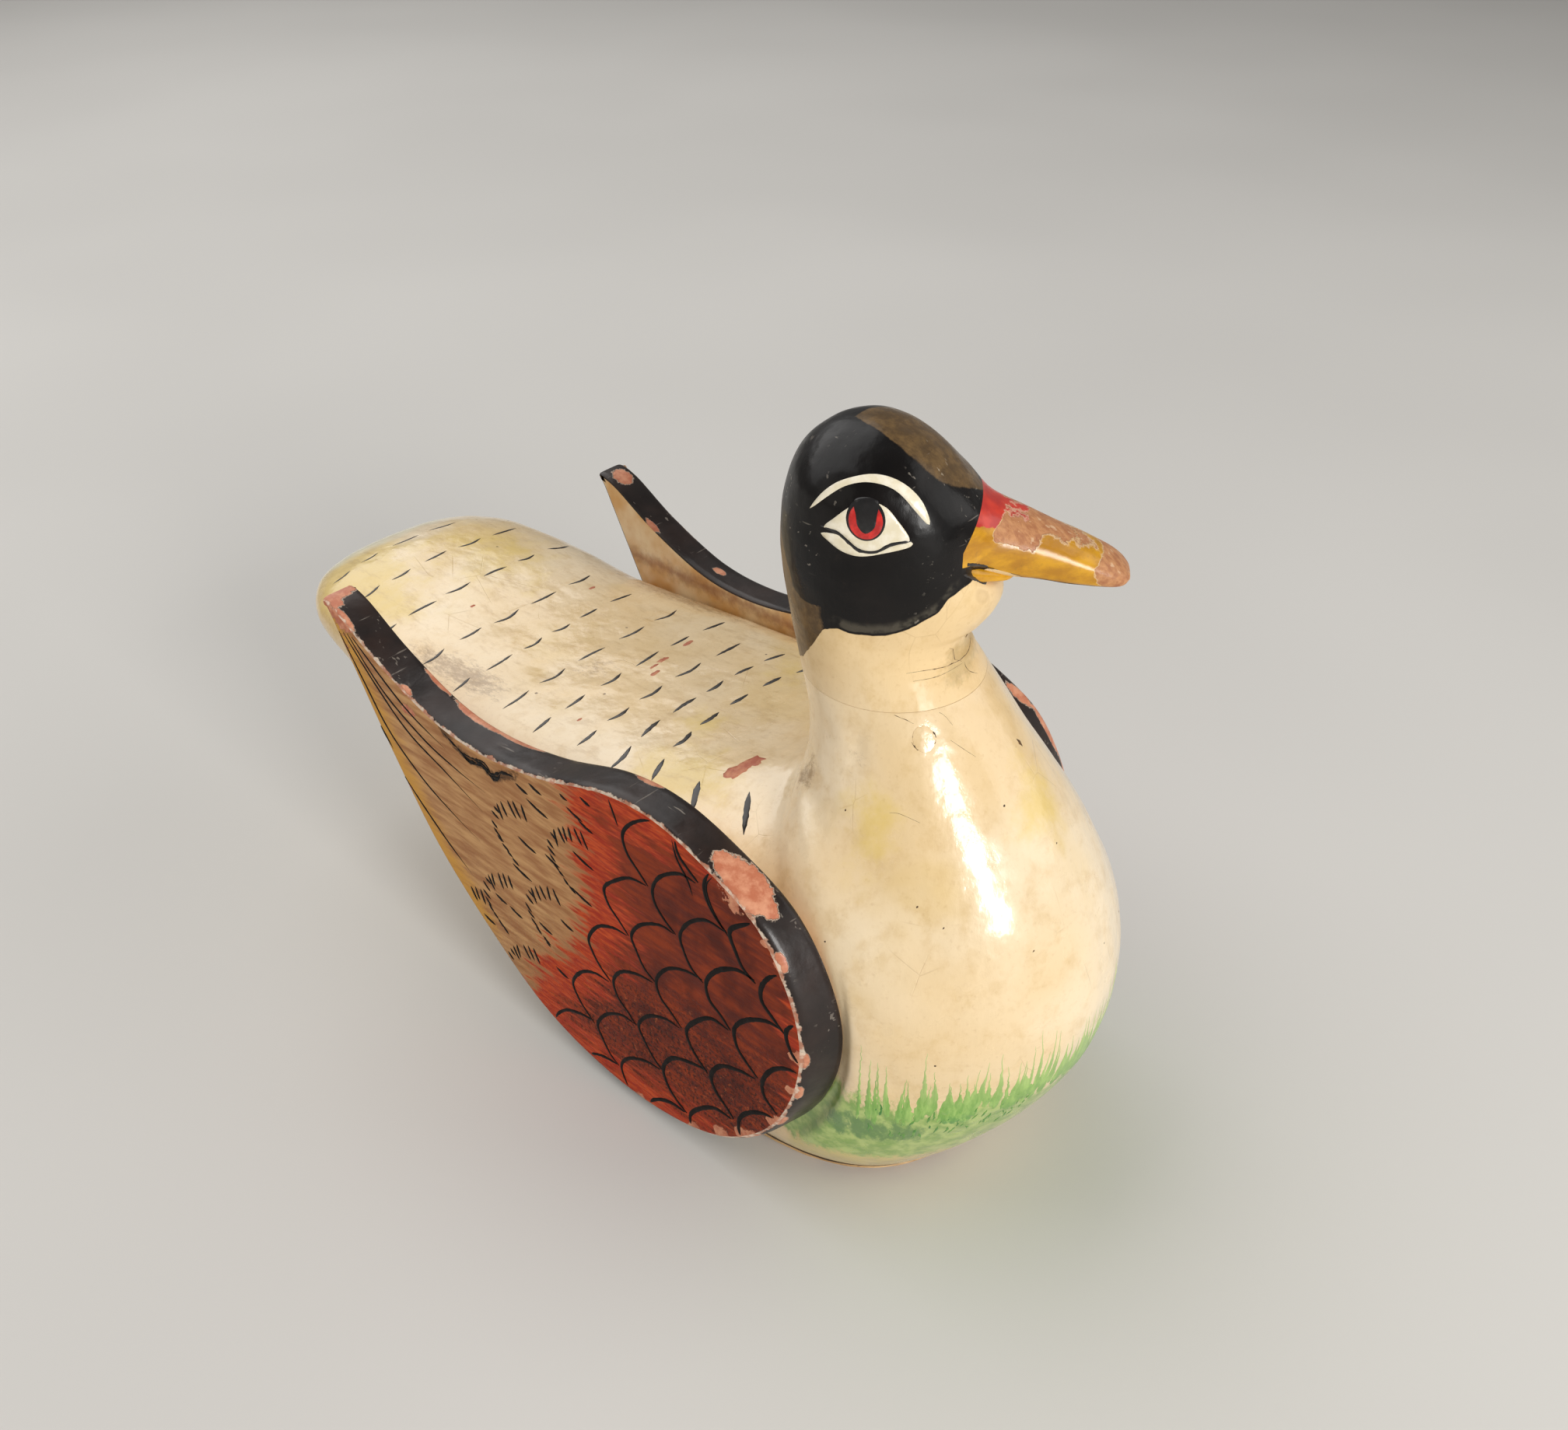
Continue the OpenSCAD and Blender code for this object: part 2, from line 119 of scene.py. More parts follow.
def ring_points(row, half, seated=False):
    """One section of a carving, as 2 * half points evenly spaced round it from the top."""
    a = np.linspace(0, math.pi, 900)
    e = 2 / np.where(np.cos(a) >= 0, row[5], row[6])
    c = np.sign(np.cos(a)) * np.abs(np.cos(a)) ** e
    s = np.abs(np.sin(a)) ** e
    p = np.stack([row[4] * s, (row[0] + row[2]) / 2 + (row[0] - row[2]) / 2 * c,
                  (row[1] + row[3]) / 2 + (row[1] - row[3]) / 2 * c], 1)
    if seated:
        limit = seat_limit(p)
        soft = (p[:, 0] + limit - np.sqrt((p[:, 0] - limit) ** 2 + SEAT_EASE ** 2)) / 2
        p[:, 0] = np.where(p[:, 0] > SEAT_X / 2, soft, p[:, 0])
    d = np.concatenate([[0], np.cumsum(np.linalg.norm(np.diff(p, axis=0), axis=1))])
    at = np.linspace(0, d[-1], half + 1)
    q = np.stack([np.interp(at, d, p[:, k]) for k in range(3)], 1)
    other = q[1:-1][::-1] * [-1, 1, 1]
    return np.concatenate([q, other])


def bridge(count, n, closed=False):
    """Faces between "count" rings of n points each; closed joins the last ring to the first."""
    faces = []
    for j in range(count if closed else count - 1):
        a, b = j * n, (j + 1) % count * n
        faces += [(a + i, a + (i + 1) % n, b + (i + 1) % n, b + i) for i in range(n)]
    return faces


def caps(count, n):
    """Fans over the first and last ring, to two middle points that follow the rings."""
    top = (count - 1) * n
    return ([(count * n, (i + 1) % n, i) for i in range(n)]
            + [(count * n + 1, top + i, top + (i + 1) % n) for i in range(n)])


def loft(rows, steps, half, seated=False):
    """Points and faces of a whole carving, closed at both ends."""
    rows = np.array(rows, float)
    count = (len(rows) - 1) * steps + 1
    rings = [ring_points(row_at(rows, j / steps), half, seated) for j in range(count)]
    points = np.concatenate(rings + [[rings[0].mean(0), rings[-1].mean(0)]])
    return points, bridge(count, 2 * half) + caps(count, 2 * half)


def turn(p, back=False):
    """Head frame to object frame, or back."""
    c, s = math.cos(HEAD_TURN), math.sin(HEAD_TURN)
    p = np.asarray(p, float)
    if back:
        x, y = p[..., 0], p[..., 1] - NECK_Y
        return np.stack([c * x + s * y, -s * x + c * y, p[..., 2]], -1)
    x, y = p[..., 0], p[..., 1]
    return np.stack([c * x - s * y, s * x + c * y + NECK_Y, p[..., 2]], -1)


def lumps(p, size, seed=0.0):
    """Smooth noise, about -1 to 1, with features of "size" millimetres."""
    return np.array([noise.noise(Vector((v[0] / size + seed, v[1] / size - seed, v[2] / size)))
                     for v in p])


# ---------------------------------------------------------------- meshes

def new_mesh(name, points, faces, smooth=35.0, kinds=None):
    """A mesh with outward normals; kinds is each face's material number."""
    mesh = bpy.data.meshes.new(name)
    mesh.from_pydata([tuple(v) for v in np.asarray(points, float) * MM], [], faces)
    if kinds is not None:
        mesh.polygons.foreach_set("material_index", kinds)
    bm = bmesh.new()
    bm.from_mesh(mesh)
    bmesh.ops.recalc_face_normals(bm, faces=bm.faces)
    bm.to_mesh(mesh)
    bm.free()
    return finish_mesh(mesh, smooth)


def finish_mesh(mesh, smooth=35.0):
    mesh.shade_smooth()
    mesh.set_sharp_from_angle(angle=math.radians(smooth))
    return mesh


def new_object(name, mesh, body, slot, *materials):
    obj = bpy.data.objects.new(name, mesh)
    bpy.context.scene.collection.objects.link(obj)
    for m in materials:
        mesh.materials.append(m)
    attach(obj, body)
    return obj


def coords(mesh):
    """Points in millimetres."""
    co = np.zeros(len(mesh.vertices) * 3)
    mesh.vertices.foreach_get("co", co)
    return co.reshape(-1, 3) / MM


def normals(mesh):
    no = np.zeros(len(mesh.vertices) * 3)
    mesh.vertex_normals.foreach_get("vector", no)
    return no.reshape(-1, 3)


def set_coords(mesh, points):
    mesh.vertices.foreach_set("co", (np.asarray(points) * MM).astype(np.float32).ravel())
    mesh.update()


def attribute(mesh, name, values):
    a = mesh.attributes.get(name) or mesh.attributes.new(name, "FLOAT", "POINT")
    a.data.foreach_set("value", np.asarray(values, np.float32))


def cut_flat(mesh, z):
    """Cuts off and closes what is below z."""
    bm = bmesh.new()
    bm.from_mesh(mesh)
    got = bmesh.ops.bisect_plane(
        bm, geom=bm.verts[:] + bm.edges[:] + bm.faces[:], plane_co=(0, 0, z * MM),
        plane_no=(0, 0, 1), clear_inner=True, clear_outer=False)
    edges = [e for e in got["geom_cut"] if isinstance(e, bmesh.types.BMEdge)]
    filled = bmesh.ops.contextual_create(bm, geom=edges)
    bmesh.ops.triangulate(bm, faces=filled["faces"])
    bmesh.ops.recalc_face_normals(bm, faces=bm.faces)
    bm.to_mesh(mesh)
    bm.free()


def boolean(mesh, cutter, operation):
    """mesh cut by, or cut down to, another closed mesh."""
    a = bpy.data.objects.new("tmp_a", mesh)
    b = bpy.data.objects.new("tmp_b", cutter)
    for o in (a, b):
        bpy.context.scene.collection.objects.link(o)
    mod = a.modifiers.new("cut", "BOOLEAN")
    mod.operation = operation
    mod.solver = "EXACT"
    mod.object = b
    bpy.context.view_layer.update()
    out = bpy.data.meshes.new_from_object(a.evaluated_get(bpy.context.evaluated_depsgraph_get()))
    bpy.data.objects.remove(a)
    bpy.data.objects.remove(b)
    return out


def prism(outline, half_width):
    """A closed block with a side outline of (y, z) points, in the head frame, turned in place."""
    n = len(outline)
    p = [(s * half_width, y, z) for s in (-1, 1) for y, z in outline]
    faces = [tuple(range(n - 1, -1, -1)), tuple(range(n, 2 * n))]
    faces += [(i, (i + 1) % n, n + (i + 1) % n, n + i) for i in range(n)]
    return new_mesh("tmp_prism", turn(p), faces)


def tree_of(mesh):
    return BVHTree.FromPolygons([v.co / MM for v in mesh.vertices],
                                [tuple(p.vertices) for p in mesh.polygons])


def resample(points, step):
    p = np.asarray(points, float)
    d = np.concatenate([[0], np.cumsum(np.linalg.norm(np.diff(p, axis=0), axis=1))])
    n = max(2, int(round(d[-1] / step)) + 1)
    at = np.linspace(0, d[-1], n)
    return np.stack([np.interp(at, d, p[:, k]) for k in range(p.shape[1])], 1)


def curve_through(points, step):
    """A smooth open curve through the points, evenly resampled."""
    p = np.asarray(points, float)
    if len(p) > 2:
        q = []
        for i in range(len(p) - 1):
            a, b = p[max(i - 1, 0)], p[min(i + 2, len(p) - 1)]
            q += [spline(a, p[i], p[i + 1], b, t) for t in np.linspace(0, 1, 12, endpoint=False)]
        p = np.array(q + [p[-1]])
    return resample(p, step)


class Brush:
    """Paint strokes: thin closed ribbons that lie on a surface, all in one mesh."""

    def __init__(self, place, height=0.09, sink=0.06):
        """place turns a rough position into a surface point and its normal, or None."""
        self.place = place
        self.height = height
        self.sink = sink
        self.points = []
        self.faces = []

    def stroke(self, path, width, step=0.8, tips=(0.25, 0.25), wobble=0.12, smooth=True):
        """width is the full width in mm, or a list of widths along the path."""
        path = curve_through(path, step) if smooth else resample(path, step)
        placed = [self.place(p) for p in path]
        if any(v is None for v in placed):
            return
        co = np.array([v[0] for v in placed])
        no = np.array([v[1] for v in placed])
        n = len(co)
        t = np.gradient(co, axis=0)
        t /= np.maximum(np.linalg.norm(t, axis=1), 1e-9)[:, None]
        side = np.cross(no, t)
        side /= np.maximum(np.linalg.norm(side, axis=1), 1e-9)[:, None]
        s = np.linspace(0, 1, n)
        w = np.interp(s, np.linspace(0, 1, np.size(width)), np.atleast_1d(width)) / 2
        rise = np.minimum(1, (s + 0.02) / max(tips[0], 1e-3)) ** 0.6
        fall = np.minimum(1, (1.02 - s) / max(tips[1], 1e-3)) ** 0.6
        w = w * rise * fall * (1 + wobble * rng.standard_normal(n))
        w = np.maximum(w, 0.04)[:, None]
        h = self.height * np.minimum(1, w / 0.3)
        rows = [co - side * w - no * self.sink, co - side * w * 0.6 + no * h,
                co + side * w * 0.6 + no * h, co + side * w - no * self.sink,
                co - no * self.sink * 2.5]
        k = len(rows)
        base = len(self.points)
        for i in range(n):
            self.points += [tuple(r[i]) for r in rows]
        for i in range(n - 1):
            a = base + i * k
            self.faces += [(a + j, a + (j + 1) % k, a + k + (j + 1) % k, a + k + j)
                           for j in range(k)]
        self.faces += [tuple(base + j for j in range(k - 1, -1, -1)),
                       tuple(base + (n - 1) * k + j for j in range(k))]

    def patch(self, outline, spacing=0.5, lift=None):
        """A filled shape. The outline is 2-D points, and "lift" turns one into a rough position."""
        outer = resample(np.concatenate([outline, outline[:1]]), spacing)[:-1]
        t = np.roll(outer, -1, 0) - np.roll(outer, 1, 0)
        t /= np.maximum(np.linalg.norm(t, axis=1), 1e-9)[:, None]
        after = np.roll(outer, -1, 0)
        area = np.sum(outer[:, 0] * after[:, 1] - outer[:, 1] * after[:, 0])
        inner = outer + 0.08 * math.copysign(1, area) * np.column_stack([-t[:, 1], t[:, 0]])
        low, high = inner.min(0), inner.max(0)
        grid = np.array([(u, v) for u in np.arange(low[0] + spacing / 2, high[0], spacing)
                         for v in np.arange(low[1] + spacing / 2, high[1], spacing)] or [inner[0]])
        grid = grid[signed_distance(grid, inner) > spacing * 0.45]
        n = len(inner)
        verts, _, faces, origin, *_ = delaunay_2d_cdt(
            [Vector(v) for v in np.concatenate([inner, grid])], [(i, (i + 1) % n) for i in range(n)],
            [], 1, 1e-5)
        ring = {k: i for i, found in enumerate(origin) for k in found}
        top = [self.place(lift((v[0], v[1]))) for v in verts]
        rim = [self.place(lift(tuple(v))) for v in outer]
        if any(v is None for v in top + rim):
            return
        base, m = len(self.points), len(verts)
        for co, no in top:
            self.points.append(tuple(np.array(co) + np.array(no) * self.height))
        for co, no in top:
            self.points.append(tuple(np.array(co) - np.array(no) * (self.sink + 0.1)))
        for co, no in rim:
            self.points.append(tuple(np.array(co) - np.array(no) * self.sink))
        self.faces += [tuple(base + i for i in f) for f in faces]
        self.faces += [tuple(base + m + i for i in reversed(f)) for f in faces]
        for i in range(n):
            j = (i + 1) % n
            if i in ring and j in ring and ring[i] != ring[j]:
                for level in (0, m):
                    self.faces.append((base + level + ring[i], base + level + ring[j],
                                       base + 2 * m + j, base + 2 * m + i))

    def object(self, name, body, slot, material):
        mesh = new_mesh(name, self.points, self.faces, 60)
        return new_object(name, mesh, body, slot, material)


def distance_to_line(p, line, closed=False):
    """Distance of many 2-D points from a polyline."""
    p = np.asarray(p, float)
    line = np.asarray(line, float)
    best = np.full(len(p), 1e9)
    for i in range(len(line) - (0 if closed else 1)):
        a, b = line[i], line[(i + 1) % len(line)]
        t = np.clip(((p - a) @ (b - a)) / max((b - a) @ (b - a), 1e-9), 0, 1)
        best = np.minimum(best, np.linalg.norm(p - a - t[:, None] * (b - a), axis=1))
    return best


def signed_distance(p, polygon):
    """Positive inside the polygon."""
    d = distance_to_line(p, polygon, True)
    q = np.asarray(polygon, float)
    hit = np.zeros(len(p), bool)
    for i in range(len(q)):
        (x1, y1), (x2, y2) = q[i], q[(i + 1) % len(q)]
        cross = (y1 > p[:, 1]) != (y2 > p[:, 1])
        dy = y2 - y1 if abs(y2 - y1) > 1e-9 else 1e-9
        hit ^= cross & (p[:, 0] < (x2 - x1) * (p[:, 1] - y1) / dy + x1)
    return np.where(hit, d, -d)


# ---------------------------------------------------------------- materials

def colour(code):
    """Linear colour from a six-digit code."""
    c = [int(code[i:i + 2], 16) / 255 for i in (0, 2, 4)]
    return [v / 12.92 if v <= 0.04045 else ((v + 0.055) / 1.055) ** 2.4 for v in c] + [1.0]


class Paint:
    """A small builder for node materials. Sizes of features are in millimetres."""

    def __init__(self, name):
        self.material = bpy.data.materials.new(name)
        self.material.use_nodes = True
        self.tree = self.material.node_tree
        self.tree.nodes.clear()
        out = self.tree.nodes.new("ShaderNodeOutputMaterial")
        self.shader = self.tree.nodes.new("ShaderNodeBsdfPrincipled")
        self.tree.links.new(self.shader.outputs[0], out.inputs["Surface"])
        self.co = self.tree.nodes.new("ShaderNodeTexCoord").outputs["Object"]

    def put(self, socket, value):
        if isinstance(value, bpy.types.NodeSocket):
            self.tree.links.new(value, socket)
        elif isinstance(value, str):
            socket.default_value = colour(value)
        else:
            socket.default_value = value

    def attr(self, name):
        node = self.tree.nodes.new("ShaderNodeAttribute")
        node.attribute_name = name
        return node.outputs["Fac"]

    def height(self):
        node = self.tree.nodes.new("ShaderNodeSeparateXYZ")
        self.put(node.inputs[0], self.co)
        return self.times(node.outputs[2], 1 / MM)

    def math(self, operation, a, b):
        node = self.tree.nodes.new("ShaderNodeMath")
        node.operation = operation
        self.put(node.inputs[0], a)
        self.put(node.inputs[1], b)
        return node.outputs[0]

    def times(self, a, b):
        return self.math("MULTIPLY", a, b)

    def plus(self, value, noise, amount):
        return self.math("ADD", value, self.times(noise, amount))

    def ragged(self, value, noise, amount):
        """value with an uneven edge, by half of amount either way."""
        return self.plus(value, self.math("SUBTRACT", noise, 0.5), amount)

    def vector(self, scale=(1, 1, 1), turn=(0, 0, 0), offset=(0, 0, 0)):
        node = self.tree.nodes.new("ShaderNodeMapping")
        self.put(node.inputs["Vector"], self.co)
        node.inputs["Scale"].default_value = scale
        node.inputs["Rotation"].default_value = [math.radians(v) for v in turn]
        node.inputs["Location"].default_value = offset
        return node.outputs[0]

    def noise(self, size, detail=3.0, rough=0.55, vector=None):
        node = self.tree.nodes.new("ShaderNodeTexNoise")
        self.put(node.inputs["Vector"], self.co if vector is None else vector)
        node.inputs["Scale"].default_value = 1 / MM / size
        node.inputs["Detail"].default_value = detail
        node.inputs["Roughness"].default_value = rough
        return node.outputs["Fac"]

    def cells(self, size, feature="F1", vector=None):
        node = self.tree.nodes.new("ShaderNodeTexVoronoi")
        node.feature = feature
        self.put(node.inputs["Vector"], self.co if vector is None else vector)
        node.inputs["Scale"].default_value = 1 / MM / size
        return node.outputs["Distance"]

    def band(self, value, low, high, out_low=0.0, out_high=1.0):
        """value from low to high becomes 0 to 1, held at the ends."""
        node = self.tree.nodes.new("ShaderNodeMapRange")
        node.interpolation_type = "SMOOTHSTEP"
        self.put(node.inputs["Value"], value)
        for key, v in (("From Min", low), ("From Max", high), ("To Min", out_low), ("To Max", out_high)):
            self.put(node.inputs[key], v)
        return node.outputs["Result"]

    def mix(self, share, first, second):
        node = self.tree.nodes.new("ShaderNodeMix")
        node.data_type = "RGBA"
        self.put(node.inputs["Factor"], share)
        self.put(node.inputs[6], first)
        self.put(node.inputs[7], second)
        return node.outputs[2]

    def mottle(self, noise, first, second, low=0.35, high=0.7):
        return self.mix(self.band(noise, low, high), first, second)

    def over(self, base, top, amount, value, low, high):
        """top laid over base, as strong as amount once value has gone from low to high."""
        return self.mix(self.times(self.band(value, low, high), amount), base, top)

    def bump(self, *layers):
        """Layers of (height, depth in mm), added up."""
        total = None
        for height, depth in layers:
            part = self.times(height, depth * MM)
            total = part if total is None else self.math("ADD", total, part)
        node = self.tree.nodes.new("ShaderNodeBump")
        node.inputs["Strength"].default_value = 1.0
        node.inputs["Distance"].default_value = 1.0
        self.put(node.inputs["Height"], total)
        self.put(self.shader.inputs["Normal"], node.outputs[0])
        self.put(self.shader.inputs["Coat Normal"], node.outputs[0])

    def done(self, base, rough, coat=0.0, coat_rough=0.1, metallic=0.0, specular=0.5):
        """rough is (what it follows, lowest, highest), or one number."""
        self.put(self.shader.inputs["Base Color"], base)
        if isinstance(rough, tuple):
            rough = self.band(rough[0], 0.3, 0.7, *rough[1:])
        self.put(self.shader.inputs["Roughness"], rough)
        for key, v in (("Coat Weight", coat), ("Coat Roughness", coat_rough), ("Metallic", metallic),
                       ("Specular IOR Level", specular)):
            self.shader.inputs[key].default_value = v
        return self.material


def cream_colour(m):
    """Aged ivory lacquer: yellowed patches, faint grain, specks and fine cracks."""
    base = m.mottle(m.noise(48, 2), "E8CB9A", "F4E0BE", 0.35, 0.68)
    base = m.over(base, "DDBC74", 0.5, m.noise(27, 3, vector=m.vector(offset=(3, 1, 2))), 0.52, 0.72)
    base = m.over(base, "D2AF72", 0.42, m.noise(5, 4, 0.65), 0.46, 0.75)
    base = m.over(base, "B98E52", 0.22, m.noise(1.1, 2), 0.55, 0.85)
    line = m.band(m.cells(11, "DISTANCE_TO_EDGE", m.vector(scale=(1, 1, 0.6))), 0.0, 0.012, 1, 0)
    where = m.band(m.noise(22, 2, vector=m.vector(offset=(8, 0, 0))), 0.56, 0.66)
    crack = m.times(line, where)
    base = m.mix(m.times(crack, 0.22), base, "9C7440")
    lucky = m.band(m.noise(9, 0, vector=m.vector(offset=(0, 5, 0))), 0.62, 0.64)
    speck = m.times(m.band(m.cells(7.5), 0.035, 0.06, 1, 0), lucky)
    return m.mix(m.times(speck, 0.85), base, "5A3A1C"), crack, speck


def cream_bump(m):
    brush = m.noise(1.6, 3, 0.6, m.vector(scale=(1, 1, 0.22)))
    return [(m.noise(16, 2), 0.7), (m.noise(5.5, 2), 0.22), (brush, 0.045), (m.noise(0.5, 1), 0.008)]


def grass_dab(m, size):
    return m.noise(size, 4, 0.7, m.vector(scale=(1, 1, 0.5), turn=(20, 15, 0)))


def body_paint():
    m = Paint("body_lacquer")
    base, crack, speck = cream_colour(m)
    base = m.over(base, "E2C35C", 0.65, m.plus(m.attr("yellow"), m.noise(8, 4, 0.65), 1.3), 0.85, 1.55)
    grime = m.noise(3.2, 4, 0.7, m.vector(scale=(1.3, 0.4, 1), turn=(0, 0, 25)))
    base = m.over(base, "B08A4C", m.times(m.attr("back"), 0.33), grime, 0.5, 0.72)
    smudge = m.noise(1.7, 5, 0.8, m.vector(scale=(1.6, 0.6, 1), turn=(0, 0, 20)))
    base = m.over(base, "7A5528", 0.6, m.plus(m.attr("stain"), smudge, 1.5), 1.1, 1.6)
    base = m.mottle(m.plus(m.attr("tail"), m.noise(6, 3), 0.4), base, "E9E3C8", 0.6, 0.95)
    # the grass's wash: yellow green right down to the seam, green above it
    base = m.over(base, "CDBE6A", 0.75, m.plus(m.attr("low"), m.noise(7, 3), 0.5), 0.35, 0.8)
    green, dab = m.attr("green"), grass_dab(m, 2.6)
    cover = m.times(m.band(m.ragged(green, dab, 1.9), 0.15, 0.75), m.band(green, 0.0, 0.12))
    tone = m.mottle(m.noise(3.5, 3, 0.6), "6A9E32", "A9C468", 0.35, 0.65)
    tone = m.mottle(m.plus(m.attr("dark"), dab, 1.1), tone, "2C7A22", 1.02, 1.3)
    base = m.mix(m.times(cover, 0.9), base, tone)
    # painted shade: darker brown in the crease where the wing boards meet the body
    base = m.over(base, "8B6430", 0.7, m.plus(m.attr("joint"), m.noise(2.5, 3), 0.8), 0.8, 1.3)
    m.bump(*cream_bump(m), (crack, -0.03), (speck, -0.05))
    return m.done(base, (m.noise(8, 3), 0.26, 0.4), coat=0.8, coat_rough=0.13)


def black_colour(m, scratch=1.0):
    """Black lacquer with a brown bloom and scratches; gives the colour and the scratches."""
    base = m.mottle(m.noise(13, 3), "090707", "14100F")
    base = m.over(base, "2E241E", 0.3, m.noise(4, 5, 0.75), 0.55, 0.8)
    one_way = m.noise(1.3, 2, vector=m.vector(scale=(1, 0.09, 1), turn=(35, 0, 50)))
    other_way = m.noise(1.2, 2, vector=m.vector(scale=(0.08, 1, 1), turn=(0, 40, 15)))
    fine = m.math("MAXIMUM", m.band(one_way, 0.665, 0.7), m.band(other_way, 0.67, 0.71))
    where = m.band(m.noise(12, 2, vector=m.vector(offset=(1, 7, 3))), 0.48, 0.62)
    marks = m.times(m.times(fine, where), 0.5 * scratch)
    return m.mix(marks, base, "A39A8E"), marks


def head_paint():
    m = Paint("head_lacquer")
    cream = cream_colour(m)[0]
    # painted shade: darker olive brown in the creases of the throat, under the chin
    cream = m.over(cream, "9A8450", 0.45, m.plus(m.attr("throat"), m.noise(2.2, 4, 0.7), 0.9), 0.95, 1.45)
    black, marks = black_colour(m)
    brown = m.mottle(m.noise(3, 4, 0.7), "55422B", "735A38")
    brown = m.over(brown, "2A211B", 0.5, m.noise(1.0, 3, 0.7), 0.55, 0.8)
    brown = m.mix(marks, brown, "B5A791")
    hood = m.mottle(m.ragged(m.attr("crown"), m.noise(3, 4, 0.7), 1.3), black, brown, -0.25, 0.35)
    # the black is thin, and greyer, along its lower edge on the cheeks
    edge = m.ragged(m.attr("hood"), m.noise(3.2, 2), 1.1)
    thin = m.times(m.band(edge, 0.45, 0.8), m.band(edge, 1.7, 3.2, 1, 0))
    thin = m.times(thin, m.attr("cheek"))
    hood = m.over(hood, "5E584C", m.times(thin, 0.6), m.noise(4, 3, 0.6), 0.38, 0.58)
    covered = m.band(edge, -0.1, 0.1)
    m.bump(*cream_bump(m), (covered, 0.05), (marks, -0.01))
    return m.done(m.mix(covered, cream, hood), (m.noise(9, 3), 0.26, 0.42), coat=0.2, coat_rough=0.18,
                  specular=0.16)


def chipped(m, edge, gone, lip_low, lip_high):
    """The pale lip of paint round a chip, 0 to 0.6."""
    return m.times(m.times(m.band(edge, lip_low, lip_high), m.math("SUBTRACT", 1.0, gone)), 0.6)


def bill_paint():
    """Chipped red and yellow paint over bare wood."""
    m = Paint("bill_lacquer")
    yellow = m.mottle(m.noise(6, 4, 0.6, m.vector(scale=(1, 1, 2))), "B27908", "D69C10")
    yellow = m.over(yellow, "7C5A14", 0.5, m.noise(1.6, 4, 0.7), 0.55, 0.8)
    scarlet = m.mottle(m.noise(4, 3), "B5261C", "D23A26")
    paint = m.mottle(m.ragged(m.attr("red"), m.noise(1.5, 3), 0.9), yellow, scarlet, -0.12, 0.12)
    grain = m.noise(1.1, 4, 0.65, m.vector(scale=(1, 0.25, 1), turn=(0, 0, 38)))
    wood = m.mottle(grain, "A86B42", "C88F5E", 0.3)
    wood = m.over(wood, "8C4A30", 0.5, m.noise(3, 4, 0.7), 0.52, 0.75)
    wood = m.over(wood, "E0BE98", 0.6, m.noise(1.6, 3), 0.6, 0.7)
    bare = m.ragged(m.ragged(m.attr("bare"), m.noise(1.8, 4, 0.65), 2.0), m.noise(5, 2), 0.8)
    naked = m.band(bare, -0.06, 0.06)
    paint = m.mix(chipped(m, bare, naked, -0.3, -0.08), paint, "E7C9A8")
    m.bump((m.noise(6, 2), 0.25), (naked, -0.16), (m.times(naked, grain), 0.12), (m.noise(1.2, 3), 0.02))
    return m.done(m.mix(naked, paint, wood), m.band(naked, 0, 1, 0.3, 0.62), coat=0.25, coat_rough=0.2)


def wing_face_paint():
    """Red feathers in front and tan ones behind, burnt in one place and worn along the edge."""
    m = Paint("wing_face_lacquer")
    along = m.vector(scale=(1, 0.16, 1), turn=(37, 0, 0))
    streak, fine = m.noise(2.0, 4, 0.6, along), m.noise(0.7, 3, 0.65, along)
    tan = m.mottle(streak, "A06A3E", "CD9F6C", 0.3)
    tan = m.over(tan, "9E7442", 0.45, fine, 0.5, 0.8)
    tan = m.over(tan, "D39A36", 0.8, m.plus(m.attr("ochre"), streak, 0.8), 0.7, 1.3)
    red = m.mottle(streak, "681F08", "923815", 0.35, 0.68)
    red = m.over(red, "481206", 0.85, m.noise(11, 3, vector=m.vector(offset=(0, 3, 1))), 0.45, 0.7)
    speckle = m.attr("speckle")
    pitted = m.times(m.band(m.noise(0.9, 3, 0.7), 0.5, 0.6), speckle)
    red = m.mix(m.times(pitted, 0.8), red, "2C0F08")
    red = m.over(red, "BC6236", m.times(speckle, 0.7), m.noise(1.6, 3, 0.7), 0.58, 0.75)
    front = m.ragged(m.attr("front"), streak, 38)
    hot = m.mottle(fine, "A82C10", "D2531F")
    red = m.mix(m.band(front, 7, 16, 0.9, 0), red, hot)
    base = m.mottle(front, tan, red, -4.5, 2.5)
    burn = m.attr("burn")
    base = m.over(base, "1E100A", 0.95, m.ragged(burn, m.noise(1.5, 5, 0.75), 3.0), 1.5, 0.7)
    base = m.over(base, "9C6B3C", 0.3, burn, 6.5, 1.0)
    worn = m.band(m.ragged(m.attr("rim"), m.noise(3.5, 3, 0.6), 1.6), 0.95, 0.7)
    base = m.mix(m.times(worn, 0.8), base, m.mottle(m.noise(4, 3), "E2C7A6", "C58A6C", 0.42, 0.6))
    gone = m.band(m.ragged(m.attr("chip"), m.noise(1.8, 4, 0.7), 0.9), 0.0, 0.08)
    base = m.mix(gone, base, m.mottle(m.noise(2.5, 4, 0.65), "BA6E52", "D89876"))
    m.bump((m.noise(12, 2), 0.3), (fine, 0.05), (pitted, -0.06), (gone, -0.15), (worn, -0.08))
    return m.done(base, (streak, 0.4, 0.55), coat=0.05, coat_rough=0.25, specular=0.12)


